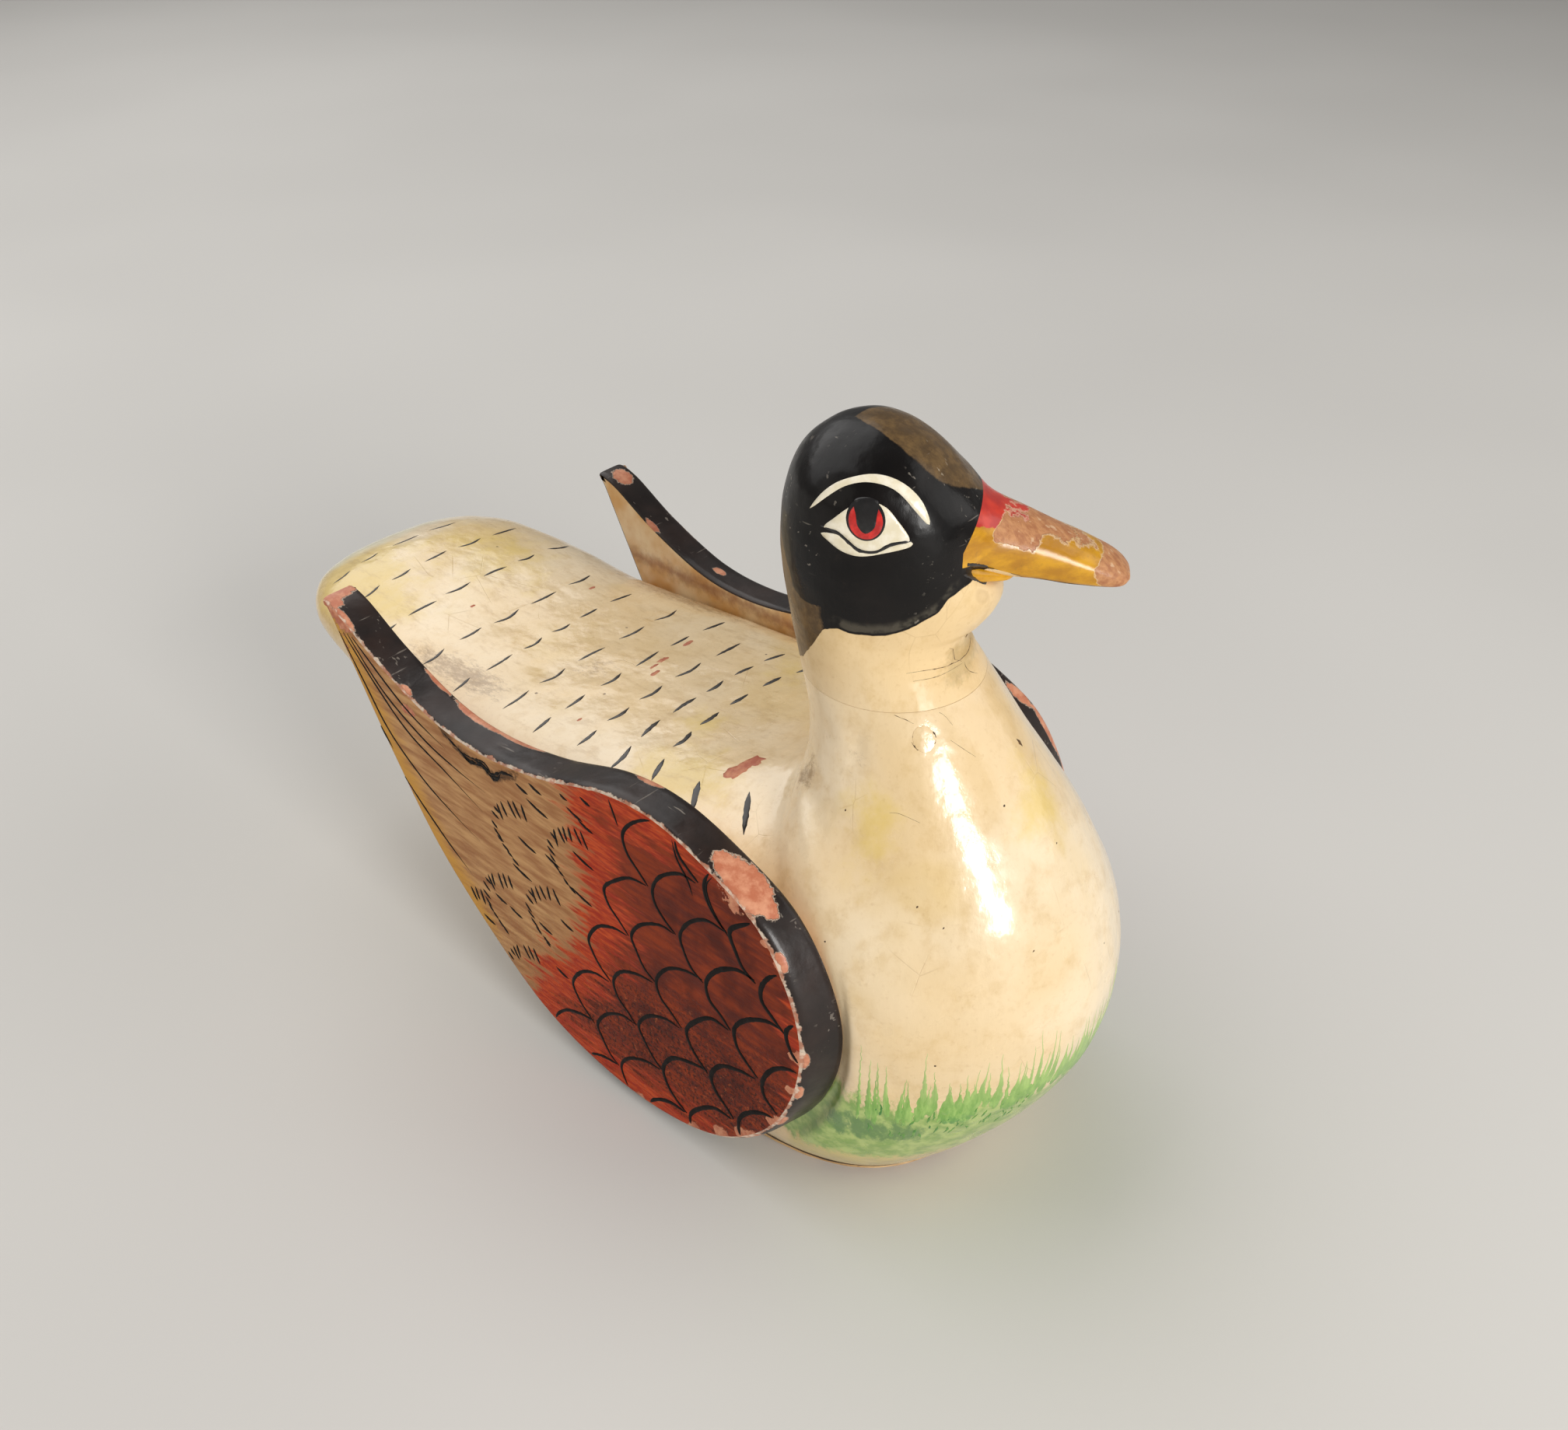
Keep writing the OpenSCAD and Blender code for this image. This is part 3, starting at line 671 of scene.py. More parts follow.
def wing_rim_paint():
    m = Paint("wing_rim_lacquer")
    base, marks = black_colour(m, 1.2)
    # a brown cast over the black: partly the rim's own brown tone, partly painted sheen standing for light
    # from above
    base = m.mix(m.band(m.noise(9, 3), 0.3, 0.7, 0.2, 0.55), base, "3B2A24")
    chip = m.ragged(m.attr("chip"), m.noise(2.0, 4, 0.7), 0.9)
    gone = m.band(chip, 0.0, 0.06)
    base = m.mix(chipped(m, chip, gone, -0.08, -0.02), base, "E2C9B2")
    base = m.mix(gone, base, m.mottle(m.noise(3, 4, 0.65), "BC7052", "DA9B7A"))
    beads = m.band(m.ragged(m.attr("outer"), m.noise(2.4, 3, 0.65), 1.5), 0.5, 0.32)
    base = m.mix(m.times(beads, 0.8), base, m.mottle(m.noise(2.5, 3), "E6D3BE", "C08468", 0.4, 0.6))
    m.bump((m.noise(14, 2), 0.45), (m.noise(3, 3), 0.08), (gone, -0.22), (beads, -0.08), (marks, -0.01))
    return m.done(base, (m.noise(7, 3), 0.32, 0.5), coat=0.3, coat_rough=0.2, specular=0.26)


def wing_inner_paint():
    m = Paint("wing_inner_lacquer")
    base = m.mottle(m.noise(14, 3), cream_colour(m)[0], "D29A50")
    # painted shade: dark brown along the root of the inner face, in the crease where it meets the back
    base = m.over(base, "8A4E22", 0.75, m.plus(m.attr("root"), m.noise(3, 4, 0.7), 0.8), 0.9, 1.5)
    base = m.mottle(m.plus(m.attr("rim"), m.noise(2, 3), 1.2), base, "1A1716", 1.5, 0.9)
    m.bump(*cream_bump(m))
    return m.done(base, (m.noise(8, 3), 0.28, 0.42), coat=0.7, coat_rough=0.14)


def stroke_paint(name, dark, light, rough=0.32, coat=0.5, specular=0.5):
    m = Paint(name)
    m.bump((m.noise(0.8, 2), 0.03))
    return m.done(m.mottle(m.noise(2.2, 3, 0.6), dark, light), (m.noise(3, 2), rough, rough + 0.12),
                  coat=coat, coat_rough=0.15, specular=specular)


def grass_paint():
    """Thin green that lets the cream through toward the tips of the blades."""
    m = Paint("grass_brushwork")
    grain = m.noise(1.2, 3, 0.6, m.vector(scale=(1, 1, 0.15)))
    base = m.mottle(grain, "6FA53A", "9CC462")
    height = m.plus(m.height(), m.noise(6, 2), 8)
    dab, foot = grass_dab(m, 2.2), m.band(height, 42, 32)
    base = m.over(base, "3F8A28", foot, dab, 0.48, 0.62)
    base = m.over(base, "BCCB74", foot, dab, 0.46, 0.34)
    base = m.over(base, "D3D69A", 0.7, height, 38, 62)
    m.bump((grain, 0.03))
    return m.done(base, (grain, 0.32, 0.44), coat=0.6, coat_rough=0.14)


def wood_material(name, dark, light, axis=(1, 0.12, 1)):
    m = Paint(name)
    rings, pores = m.noise(3.4, 3, 0.55, m.vector(scale=axis)), m.noise(0.7, 2, 0.6, m.vector(scale=axis))
    base = m.over(m.mottle(rings, dark, light, 0.3), "5B3D22", 0.5, pores, 0.55, 0.8)
    m.bump((rings, 0.08), (pores, 0.04))
    return m.done(base, (pores, 0.5, 0.68), coat=0.05, coat_rough=0.3)


def metal_material(name, dark, light, rough):
    m = Paint(name)
    tarnish = m.noise(2.6, 4, 0.65)
    m.bump((m.noise(0.6, 2, vector=m.vector(scale=(1, 1, 0.2))), 0.012), (m.noise(3, 2), 0.02))
    return m.done(m.mottle(tarnish, light, dark, 0.35, 0.68), (tarnish, rough, rough + 0.2), metallic=1.0)


def cast_material():
    m = Paint("cast_iron_skin")
    m.bump((m.cells(1.2), 0.12), (m.noise(6, 2), 0.2))
    return m.done(m.mottle(m.noise(5, 4, 0.65), "3B3B3D", "57504A"), (m.noise(2, 3), 0.5, 0.72), metallic=0.6)


def bedding_material():
    m = Paint("bedding_compound")
    m.bump((m.noise(1.4, 3), 0.15))
    return m.done(m.mottle(m.noise(4, 4, 0.65), "241710", "4A3320"), (m.noise(3, 2), 0.45, 0.7), coat=0.1,
                  coat_rough=0.3)


BODY = body_paint()
HEAD = head_paint()
BILL = bill_paint()
WING_FACE = wing_face_paint()
WING_RIM = wing_rim_paint()
WING_INNER = wing_inner_paint()
BLACK_LINE = stroke_paint("black_brushwork", "120E0C", "2C221B")
WING_INK = stroke_paint("wing_black_brushwork", "060403", "100A08", 0.45, 0.0, 0.12)
HEAD_INK = stroke_paint("head_black_brushwork", "0A090A", "141112", 0.3)
WHITE = stroke_paint("ivory_brushwork", "E9DEC0", "F6EEDA")
SCARLET = stroke_paint("red_brushwork", "B01A18", "DE2F28")
SALMON = stroke_paint("primer_chips", "B05F44", "CB8763", 0.5, 0.1)
GRASS = grass_paint()
GRASS_DARK = stroke_paint("dark_grass_brushwork", "2F7D22", "6BA23A")
CRACK = stroke_paint("open_cracks", "3A2816", "6A4C2A", 0.6, 0.0)
OAK = wood_material("board_wood", "B08A5C", "D6B27E")
PEG = wood_material("peg_wood", "B98F5E", "DDB988", (1, 1, 0.15))
BRASS = metal_material("dulled_brass", "6E5124", "C9A256", 0.28)
STEEL = metal_material("steel_wire", "55565A", "B4B5B8", 0.3)
IRON = cast_material()
BEDDING = bedding_material()

# ---------------------------------------------------------------- body

def blots(p, spots):
    """Soft spots added up; each is (centre, size, weight)."""
    return sum(w * np.exp(-(((p - np.array(c)) / np.array(s)) ** 2).sum(1)) for c, s, w in spots)


mesh = new_mesh("decoy_body", *loft(BODY_ROWS, 14, 126, seated=True))
co, no = coords(mesh), normals(mesh)
free = np.clip((seat_limit(co) - np.abs(co[:, 0]) - 0.05) / 1.5, 0, 1)
free *= np.clip((SEAM_Z - co[:, 2]) / 6, 0, 1) * np.clip((co[:, 2] - 4) / 5, 0, 1)
carve = 0.38 * lumps(co, 26) + 0.16 * lumps(co, 9, 5.0)
crease = blots(co, [((-19.5, -69.5, 107), (2.2, 2.4, 6), 1)])
set_coords(mesh, co + no * ((carve - 0.7 * crease) * free)[:, None])
cut_flat(mesh, BASE_CUT)
co = coords(mesh)
x, y, z = co.T
attribute(mesh, "back", np.clip((z - 72) / 8, 0, 1) * np.clip((y + 48) / 14, 0, 1))
under_tail = np.clip((y - 60) / 50, 0, 1) * np.clip((72 - z) / 10, 0, 1)
attribute(mesh, "tail", np.clip((y - 100) / 16, 0, 1) + 0.6 * under_tail)
attribute(mesh, "yellow", blots(co, (
    ((3, -97, 95), (9, 12, 9), 0.8), ((-23, -77, 97), (6, 8, 6), 0.7), ((-27, -79, 89), (6, 6, 6), 0.5),
    ((-27, -27, 85), (9, 16, 8), 0.95), ((-8, -18, 85), (9, 9, 8), 0.6), ((-24, 88, 82), (14, 16, 9), 1.0),
    ((-16, 104, 82), (14, 10, 9), 0.9), ((12, 80, 84), (16, 26, 9), 0.65),
    ((22, -20, 86), (12, 14, 9), 0.6))))
attribute(mesh, "stain", blots(co, (
    ((-27, 42, 79), (6, 15, 6), 0.75), ((-6, 22, 80), (9, 9, 5), 0.55), ((-21.5, -58, 97), (3, 5, 7), 0.75),
    ((34, 30, 78), (5, 34, 6), 0.75), ((-38, -14, 76), (4, 16, 8), 0.5), ((-20, -70, 104), (3, 3, 9), 0.5),
    ((-30, 60, 79), (6, 10, 5), 0.5), ((15, -102, 60), (6, 6, 12), 0.25))))
front = np.clip((-60 - y) / 8, 0, 1)
low = np.clip((30 - z) / 14, 0, 1) * np.clip((-66 - y) / 8, 0, 1)
attribute(mesh, "low", low + 0.5 * np.clip((12 - z) / 8, 0, 1))
ridge = 39 + 5 * lumps(co, 13, 2.0) - 4 * np.clip((-y - 108) / 8, 0, 1)
attribute(mesh, "green", front * np.clip((ridge + 3 - z) / 8, 0, 1) * np.clip((z - 12) / 5, 0, 1))
attribute(mesh, "dark", blots(co, (
    ((-38, -84, 29), (7, 9, 8), 0.75), ((-32, -95, 28), (8, 8, 7), 0.6), ((-20, -104, 27), (10, 8, 7), 0.4),
    ((39, -83, 32), (6, 9, 8), 0.5), ((30, -99, 34), (8, 8, 8), 0.35))))
near_seat = np.clip(1 - (seat_limit(co) - np.abs(x)) / 2.2, 0, 1)
# painted shade mask: the crease of body beside the wing boards' seats, toward the top
attribute(mesh, "joint", near_seat * np.clip((y + 84) / 10, 0, 1) * np.clip((z - 60) / 10, 0, 1))
finish_mesh(mesh)
decoy_body = new_object("decoy_body", mesh, "decoy", "painted_body", BODY)
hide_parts("body_shell")
body_tree = tree_of(mesh)


def on_body(p):
    hit = body_tree.find_nearest(Vector(p))
    return None if hit[0] is None else (hit[0], hit[1])


def from_above(p):
    """The body's top surface under a point."""
    hit = body_tree.ray_cast(Vector((p[0], p[1], 130)), Vector((0, 0, -1)))
    return None if hit[0] is None else (hit[0], hit[1])


# rows of short dashes across the back: (y, how far the row's right end bends, stroke width)
DASH_ROWS = [(104, 3, 0.45), (90, 1, 0.55), (74, 0, 0.6), (57, 0, 0.6), (43, 0, 0.6), (28, 1, 0.65),
             (15, 1, 0.7), (3, 2, 0.75), (-7, 4, 0.85), (-16, 6, 1.0), (-27, 8, 1.15), (-38, 11, 1.15)]
black = Brush(from_above)
for index, (row_y, bend, width) in enumerate(DASH_ROWS):
    width *= 1.15
    at = -33.0 + 2 * (index % 2)
    if row_y > 80:
        at = -25.0
    while at < 33:
        length = rng.uniform(5.5, 8.8)
        a, b = at, min(at + length, 34)
        at = b + rng.uniform(3.2, 5.0)
        ys = [row_y - bend * (v / 30) ** 2 + rng.uniform(-0.5, 0.5) for v in (a, (a + b) / 2, b)]
        near_neck = row_y < -20 and abs((a + b) / 2) < 20
        reach = (26, 30, 33)[min(2, index)]
        if near_neck or abs(a) > reach or abs(b) > reach:
            continue
        path = [(a, ys[0], 0), ((a + b) / 2, ys[1] - 0.3, 0), (b, ys[2], 0)]
        black.stroke(path, [width * 0.7, width * 1.2, width * 1.35, width * 0.8], wobble=0.1)
black.object("back_dashes", "decoy", "painted_body", BLACK_LINE)

# chips down to the primer, on the back
chips = Brush(from_above, height=0.04, sink=0.03)


def ragged_outline(centre, size):
    """A closed, broken-edged outline, as 2-D points."""
    out = []
    for a in np.linspace(0, 2 * math.pi, 22, endpoint=False):
        r = 1 + 0.132 * rng.standard_normal() + 0.25 * math.cos(2 * a)
        out.append((centre[0] + size[0] * r * math.cos(a), centre[1] + size[1] * r * math.sin(a)))
    return np.array(out)


for spot in (((-18, -38), (3.6, 1.9)), ((-21, -37.2), (1.7, 2.4)), ((-15.6, -38.8), (1.5, 2.2)),
             ((6, 11.5), (1.4, 0.9)), ((2.6, 11), (1.2, 0.6)), ((0.6, 8.6), (1.2, 0.8)),
             ((15.7, 12.6), (1.5, 0.8)), ((-24, 8), (0.7, 0.5)), ((20, 52), (0.8, 0.6)),
             ((-8, 66), (0.7, 0.6))):
    chips.patch(ragged_outline(*spot), spacing=0.6, lift=lambda p: (p[0], p[1], 0))
chips.object("back_chips", "decoy", "painted_body", SALMON)

# grass round the breast: tapering blades that rise out of the wash
light, dark = Brush(on_body, 0.05, 0.05), Brush(on_body, 0.06, 0.05)


def breast_point(angle, height):
    """A rough point on the breast: angle about a middle line, 0 straight ahead, + to the left."""
    a = math.radians(angle)
    return (60 * math.sin(a), -58 - 75 * math.cos(a), height)


angle = -62.0
while angle < 62:
    side = abs(angle) / 62
    crowd = 0.5 + 0.5 * math.sin(angle * 0.28) * math.cos(angle * 0.11 + 1)
    foot = 26 + 8 * rng.random()
    tip = 46 + 13 * crowd * rng.random() + rng.uniform(-3, 5) - 3 * side ** 3
    width = rng.uniform(1.0, 4.2) * (0.7 + 0.5 * (1 - side))
    lean = rng.uniform(-1.2, 1.2)
    path = [breast_point(angle, foot), breast_point(angle + lean * 0.4, (foot + tip) / 2),
            breast_point(angle + lean, tip)]
    light.stroke(path, [width * 0.8, width, width * 0.6, 0.35, 0.14], tips=(0.1, 0.05), wobble=0.06)
    angle += rng.uniform(0.8, 2.6)
for _ in range(90):
    angle = rng.choice([-1, 1], p=[0.62, 0.38]) * rng.uniform(18, 60)
    height = rng.uniform(18, 35)
    slope = rng.uniform(-4, 4)
    length = rng.uniform(2.0, 5.0)
    path = [breast_point(angle, height), breast_point(angle + slope * 0.3, height + length)]
    dark.stroke(path, [0.3, rng.uniform(0.4, 0.8), 0.2], tips=(0.3, 0.3), wobble=0.15)
light.object("grass_blades", "decoy", "painted_body", GRASS)
dark.object("grass_dabs", "decoy", "painted_body", GRASS_DARK)

# ---------------------------------------------------------------- neck plug and cracks

PLUG_TURN = math.radians(36)
PLUG_Z = 110.8
PLUG_R = 2.3
axis_out = np.array([-math.sin(PLUG_TURN), -math.cos(PLUG_TURN), 0.0])
start = np.array([0, NECK_Y, PLUG_Z])
count = 48


def plug_spoke(a):
    """A unit step away from the plug's axis."""
    return np.array([math.cos(PLUG_TURN) * math.cos(a), -math.sin(PLUG_TURN) * math.cos(a), math.sin(a)])


spokes = [plug_spoke(a) for a in np.linspace(0, 2 * math.pi, count, endpoint=False)]
chew = 1 - 0.05 * np.abs(rng.standard_normal(count))
rings = [[start + axis_out * distance + PLUG_R * spoke for spoke in spokes] for distance in (5.06, 15)]
for share, lift in ((0.97, -0.15), (0.93, 0.1), (0.75, 0.16), (0.4, 0.2)):
    ring = []
    for spoke, worn in zip(spokes, chew):
        q = start + axis_out * 31 + PLUG_R * share * worn * spoke
        hit = body_tree.ray_cast(Vector(q), Vector(-axis_out))
        ring.append(np.array(hit[0]) + np.array(hit[1]) * lift)
    rings.append(ring)
middles = [np.mean(rings[0], 0), np.mean(rings[-1], 0) + axis_out * 0.03]
mesh = new_mesh("neck_plug", np.concatenate(rings + [middles]),
                bridge(len(rings), count) + caps(len(rings), count))
for name in ("back", "tail", "yellow", "low", "green", "dark", "joint"):
    attribute(mesh, name, np.zeros(len(mesh.vertices)))
attribute(mesh, "stain", np.full(len(mesh.vertices), 0.25))
neck_plug = new_object("neck_plug", mesh, "decoy", "painted_body", BODY)
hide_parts("neck_peg")

cracks = Brush(on_body, 0.03, 0.04)
ring = [middles[1] + (PLUG_R + 0.05 + 0.06 * rng.standard_normal()) * plug_spoke(a)
        for a in np.linspace(0, 2 * math.pi, 30)]
cracks.stroke(ring[:14], [0.3, 0.6, 0.45, 0.6, 0.3], step=0.35, wobble=0.35)
cracks.stroke(ring[15:29], [0.15, 0.35, 0.45, 0.3, 0.15], step=0.35, wobble=0.35)
for path, width in (
        ([(-12.7, -77.3, 113.2), (-13.4, -76, 113.9), (-13.9, -74.9, 114.2), (-14.6, -72.9, 114.8)], 0.14),
        ([(-8.6, -83.1, 109.9), (-7.1, -85.4, 108), (-5.7, -87.3, 106.4)], 0.1),
        ([(6.4, -88.6, 104.8), (6.8, -88.9, 103.9), (7.0, -89.3, 102.9)], 0.9),
        ([(-22, -79.6, 98.5), (-21.1, -81.3, 98.6), (-19.6, -85.1, 97.5)], 0.09),
        ([(-9, -77, 114.4), (-7, -79, 113), (-6.4, -81, 111)], 0.1)):
    cracks.stroke(path, width, step=0.5, wobble=0.35)
for spot in ((-26.3, -90.3, 83.8), (-24.6, -95.5, 80.4), (-12.5, -108.2, 74), (2.3, -102.2, 88.3),
             (-24.9, -71.2, 96.5), (-5.2, -94.3, 97.9), (-37, -76.7, 74.2), (7, -113, 65.3),
             (20, -108, 62), (26, -92, 80), (-31, -100, 52)):
    s = np.array(spot)
    cracks.stroke([s - [0.25, 0, 0.15], s + [0.25, 0, 0.15]], rng.uniform(0.4, 0.75), step=0.25, wobble=0.1)
cracks.object("body_cracks", "decoy", "painted_body", CRACK)

# ---------------------------------------------------------------- bottom edge

def outline_at(height, count=220):
    """The body's plan at and below a height, as a loop of points."""
    rows = np.array(BODY_ROWS, float)
    dense = np.concatenate([ring_points(row_at(rows, u), 300) for u in np.linspace(5.5, 13, 360)])
    below = dense[dense[:, 2] <= height]
    middle = np.array([0, -46.0])
    out = []
    a = np.arctan2(below[:, 1] - middle[1], below[:, 0])
    r = np.hypot(below[:, 0], below[:, 1] - middle[1])
    for i in range(count):
        t = 2 * math.pi * i / count - math.pi
        near = np.abs(np.angle(np.exp(1j * (a - t)))) < 0.03
        out.append((r[near].max() * math.cos(t), middle[1] + r[near].max() * math.sin(t)))
    out = np.array(out)
    k = np.array([1, 2, 3, 2, 1]) / 9.0
    return sum(w * np.roll(out, s, 0) for w, s in zip(k, (-2, -1, 0, 1, 2)))


def ring3(loop, grow, height):
    """The loop grown outward and set at a height."""
    c = loop.mean(0)
    d = loop - c
    r = np.linalg.norm(d, axis=1)[:, None]
    q = c + d * (1 + np.asarray(grow).reshape(-1, 1) / r)
    return np.column_stack([q, np.broadcast_to(height, len(loop))])


low_loop, high_loop = outline_at(0.3), outline_at(BOARD_T)
rough = 0.12 * lumps(ring3(low_loop, 0, 0), 6, 3.0)
rings = [ring3(low_loop, -1.5, 0.05), ring3(low_loop, 0.1, 0.05), ring3(low_loop, 0.4 + rough, 0.35),
         ring3((low_loop + high_loop) / 2, 0.4 + rough, 1.5), ring3(high_loop, 0.35 + rough, 2.6),
         ring3(high_loop, 0.1, 2.95), ring3(high_loop, -1.5, 2.95)]
mesh = new_mesh("board_edge", np.concatenate(rings), bridge(len(rings), len(low_loop), closed=True), 50)
new_object("board_edge", mesh, "decoy", "bare_wood", OAK)

bead = 0.35 + 0.3 * lumps(ring3(high_loop, 0, 0), 9, 8.0)
rings = [ring3(high_loop, -3, 3.02), ring3(high_loop, bead * 0.6, 3.02), ring3(high_loop, bead, 3.25),
         ring3(high_loop, bead * 0.7, 3.75), ring3(high_loop, -0.5, 3.58), ring3(high_loop, -3, 3.58)]
mesh = new_mesh("bedding_bead", np.concatenate(rings), bridge(len(rings), len(high_loop), closed=True), 60)
bedding = new_object("bedding_bead", mesh, "decoy", "bedding", BEDDING)
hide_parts("board_seal")

# ---------------------------------------------------------------- head and bill

points, faces = loft(HEAD_ROWS, 12, 100)
whole = new_mesh("head_and_bill", turn(points), faces)
co, no = coords(whole), normals(whole)
free = np.clip((co[:, 2] - SEAM_Z - 1) / 5, 0, 1)
soft = 0.28 * lumps(co, 15, 4.0) + 0.1 * lumps(co, 5, 6.0)
h = turn(co, back=True)
throat = np.exp(-(((h[:, 1] + 13) / 6) ** 2 + ((h[:, 2] - 121) / 5) ** 2))
wrinkles = 0.28 * throat * np.sin(h[:, 2] * 1.9 + 0.25 * h[:, 0] + 1.5 * lumps(co, 8, 1.0))
set_coords(whole, co + no * ((soft + wrinkles) * free)[:, None])
cut_flat(whole, SEAM_Z + HEAD_LIFT)
wedge = prism(BILL_SPACE, 40)
head_mesh = boolean(whole.copy(), wedge.copy(), "DIFFERENCE")
bill_mesh = boolean(whole, wedge, "INTERSECT")

# In the head's own frame. Lower edge of the black: (degrees from straight ahead, height)
HOOD_EDGE = [(0, 143), (44, 140.9), (52, 140.2), (60, 139), (66, 136.1), (75, 134.1), (84, 132.4),
             (93, 131.5), (106, 130.9), (117, 130.9), (125, 131.4), (135, 130.4), (143, 125.8),
             (158, 119.9), (180, 116)]
# The brown band over the crown and down the nape: (degrees up and over from the bill, half width)
CROWN = [(20, -6), (27.6, 0.7), (39, 4.8), (52, 8.3), (64, 10.1), (76, 9.9), (88, 8.8), (98, 6.4),
         (106, 3.5), (112, 0), (122, -6), (150, -8), (168, 0), (182, 5.7), (193, 7.4), (205, 8.5),
         (210, 10.4), (214, 13.5), (245, 13.5), (252, -6), (360, -6)]
# Side outlines (y, z) of the bill's bare wood and its red patch
BARE = [(-19, 150.2), (-17.3, 148.9), (-17.2, 147.2), (-24.5, 144.4), (-26.2, 146.6), (-35.6, 143.2),
        (-38.3, 142), (-36.1, 140.4), (-37.5, 136.8), (-37.5, 132), (-48, 132), (-48, 142), (-24.4, 154),
        (-23.8, 148)]
RED = [(-6, 158), (-6, 151.4), (-12.6, 151.2), (-17.3, 148.9), (-19, 150.2), (-24.6, 147.4), (-24.6, 156)]


def head_attributes(mesh):
    h = turn(coords(mesh), back=True)
    side = h[:, 1:]
    az = np.degrees(np.arctan2(np.abs(h[:, 0]), -h[:, 1]))
    attribute(mesh, "hood", h[:, 2] - np.interp(az, *zip(*HOOD_EDGE)))
    phi = np.degrees(np.arctan2(h[:, 2] - 145, -h[:, 1])) % 360
    attribute(mesh, "crown", np.interp(phi, *zip(*CROWN)) - np.abs(h[:, 0]))
    attribute(mesh, "bare", signed_distance(side, BARE))
    attribute(mesh, "red", signed_distance(side, RED))
    # mask of the throat's creases, where the painted shade goes
    attribute(mesh, "throat", np.exp(-(((h[:, 1] + 13) / 6) ** 2 + ((h[:, 2] - 121) / 6) ** 2)))
    attribute(mesh, "cheek", np.clip((az - 50) / 12, 0, 1) * np.clip((132 - az) / 8, 0, 1))


for mesh, name, node, material, slot in (
        (head_mesh, "decoy_head", "head", HEAD, "painted_head"),
        (bill_mesh, "upper_bill", "bill", BILL, "painted_bill")):
    mesh.name = name
    head_attributes(mesh)
    finish_mesh(mesh)
    obj = new_object(name, mesh, "head", slot, material)
    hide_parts(node)

points, faces = loft(LOWER_BILL_ROWS, 12, 40)
mesh = new_mesh("chin_bill", turn(points), faces)
head_attributes(mesh)
for name in ("bare", "red"):
    attribute(mesh, name, np.full(len(mesh.vertices), -9.0))
obj = new_object("chin_bill", mesh, "head", "painted_bill", BILL)
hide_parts("lower_bill")

head_tree = tree_of(bpy.data.objects["decoy_head"].data)
bill_tree = tree_of(bpy.data.objects["upper_bill"].data)


def on_side(sign):
    """Places a point given in the head frame on the head's side, looking across it."""
    def find(p):
        a, b = turn([(sign * 45, p[1], p[2]), (0, p[1], p[2])])
        d = Vector(b - a).normalized()
        hit = head_tree.ray_cast(Vector(a), d)
        return None if hit[0] is None else (hit[0], hit[1])
    return find


def near(tree):
    """Places a point given in the head frame on the nearest part of a surface."""
    def find(p):
        hit = tree.find_nearest(Vector(turn(p)))
        return None if hit[0] is None else (hit[0], hit[1])
    return find


# The eye from the side, as (y, z) in the head's own frame
BROW = [(16.3, 154.3), (14.3, 157.6), (11.1, 160.3), (6.6, 161.9), (2.9, 161.8), (-0.7, 160.3),
        (-3.5, 157.8), (-5, 154.8), (-4.8, 153.8), (-2.7, 156), (0.1, 158.9), (2.9, 160.4), (6.5, 160.8),
        (10.1, 159.7), (13.3, 157.3)]
ALMOND = [(13.7, 151.9), (11.8, 154.2), (9.3, 156.5), (6.4, 158.1), (3, 157.3), (0.9, 155.3),
          (-1.7, 151.4), (1.6, 150.7), (4.3, 149.2), (7.1, 149.1), (8.9, 150.3), (11.3, 151.9)]
UNDER = [(14.2, 150.6), (12.7, 149.4), (10.3, 148.1), (7, 147.7), (2.5, 148.9), (-1.8, 150.2),
         (-1.8, 151.2), (1.6, 150.3), (4.3, 148.9), (7.1, 148.7), (8.9, 149.8), (11.2, 151.2)]
PUPIL = [(6.2, 152.2), (4.6, 153.4), (4.2, 155.6), (4.0, 158.0), (6.3, 158.6), (8.4, 157.8), (8.0, 155.4),
         (7.6, 153.4)]
LID = [(14.3, 151.9), (11.3, 151.6), (8.9, 150.0), (7.1, 148.9), (4.3, 149.0), (1.6, 150.6), (-1.9, 151.3)]
IRIS = (6.2, 154.7)


def closed_curve(points, steps):
    """A smooth closed curve through the points, with "steps" points for each of them."""
    p = np.array(points, float)
    n = len(p)
    return np.array([spline(p[i - 1], p[i], p[(i + 1) % n], p[(i + 2) % n], t)
                     for i in range(n) for t in np.linspace(0, 1, steps, endpoint=False)])


def disc(centre, radius_y, radius_z):
    return np.array([(centre[0] + radius_y * math.cos(a), centre[1] + radius_z * math.sin(a))
                     for a in np.linspace(0, 2 * math.pi, 30, endpoint=False)])


def lift(p):
    return (0, p[0], p[1])


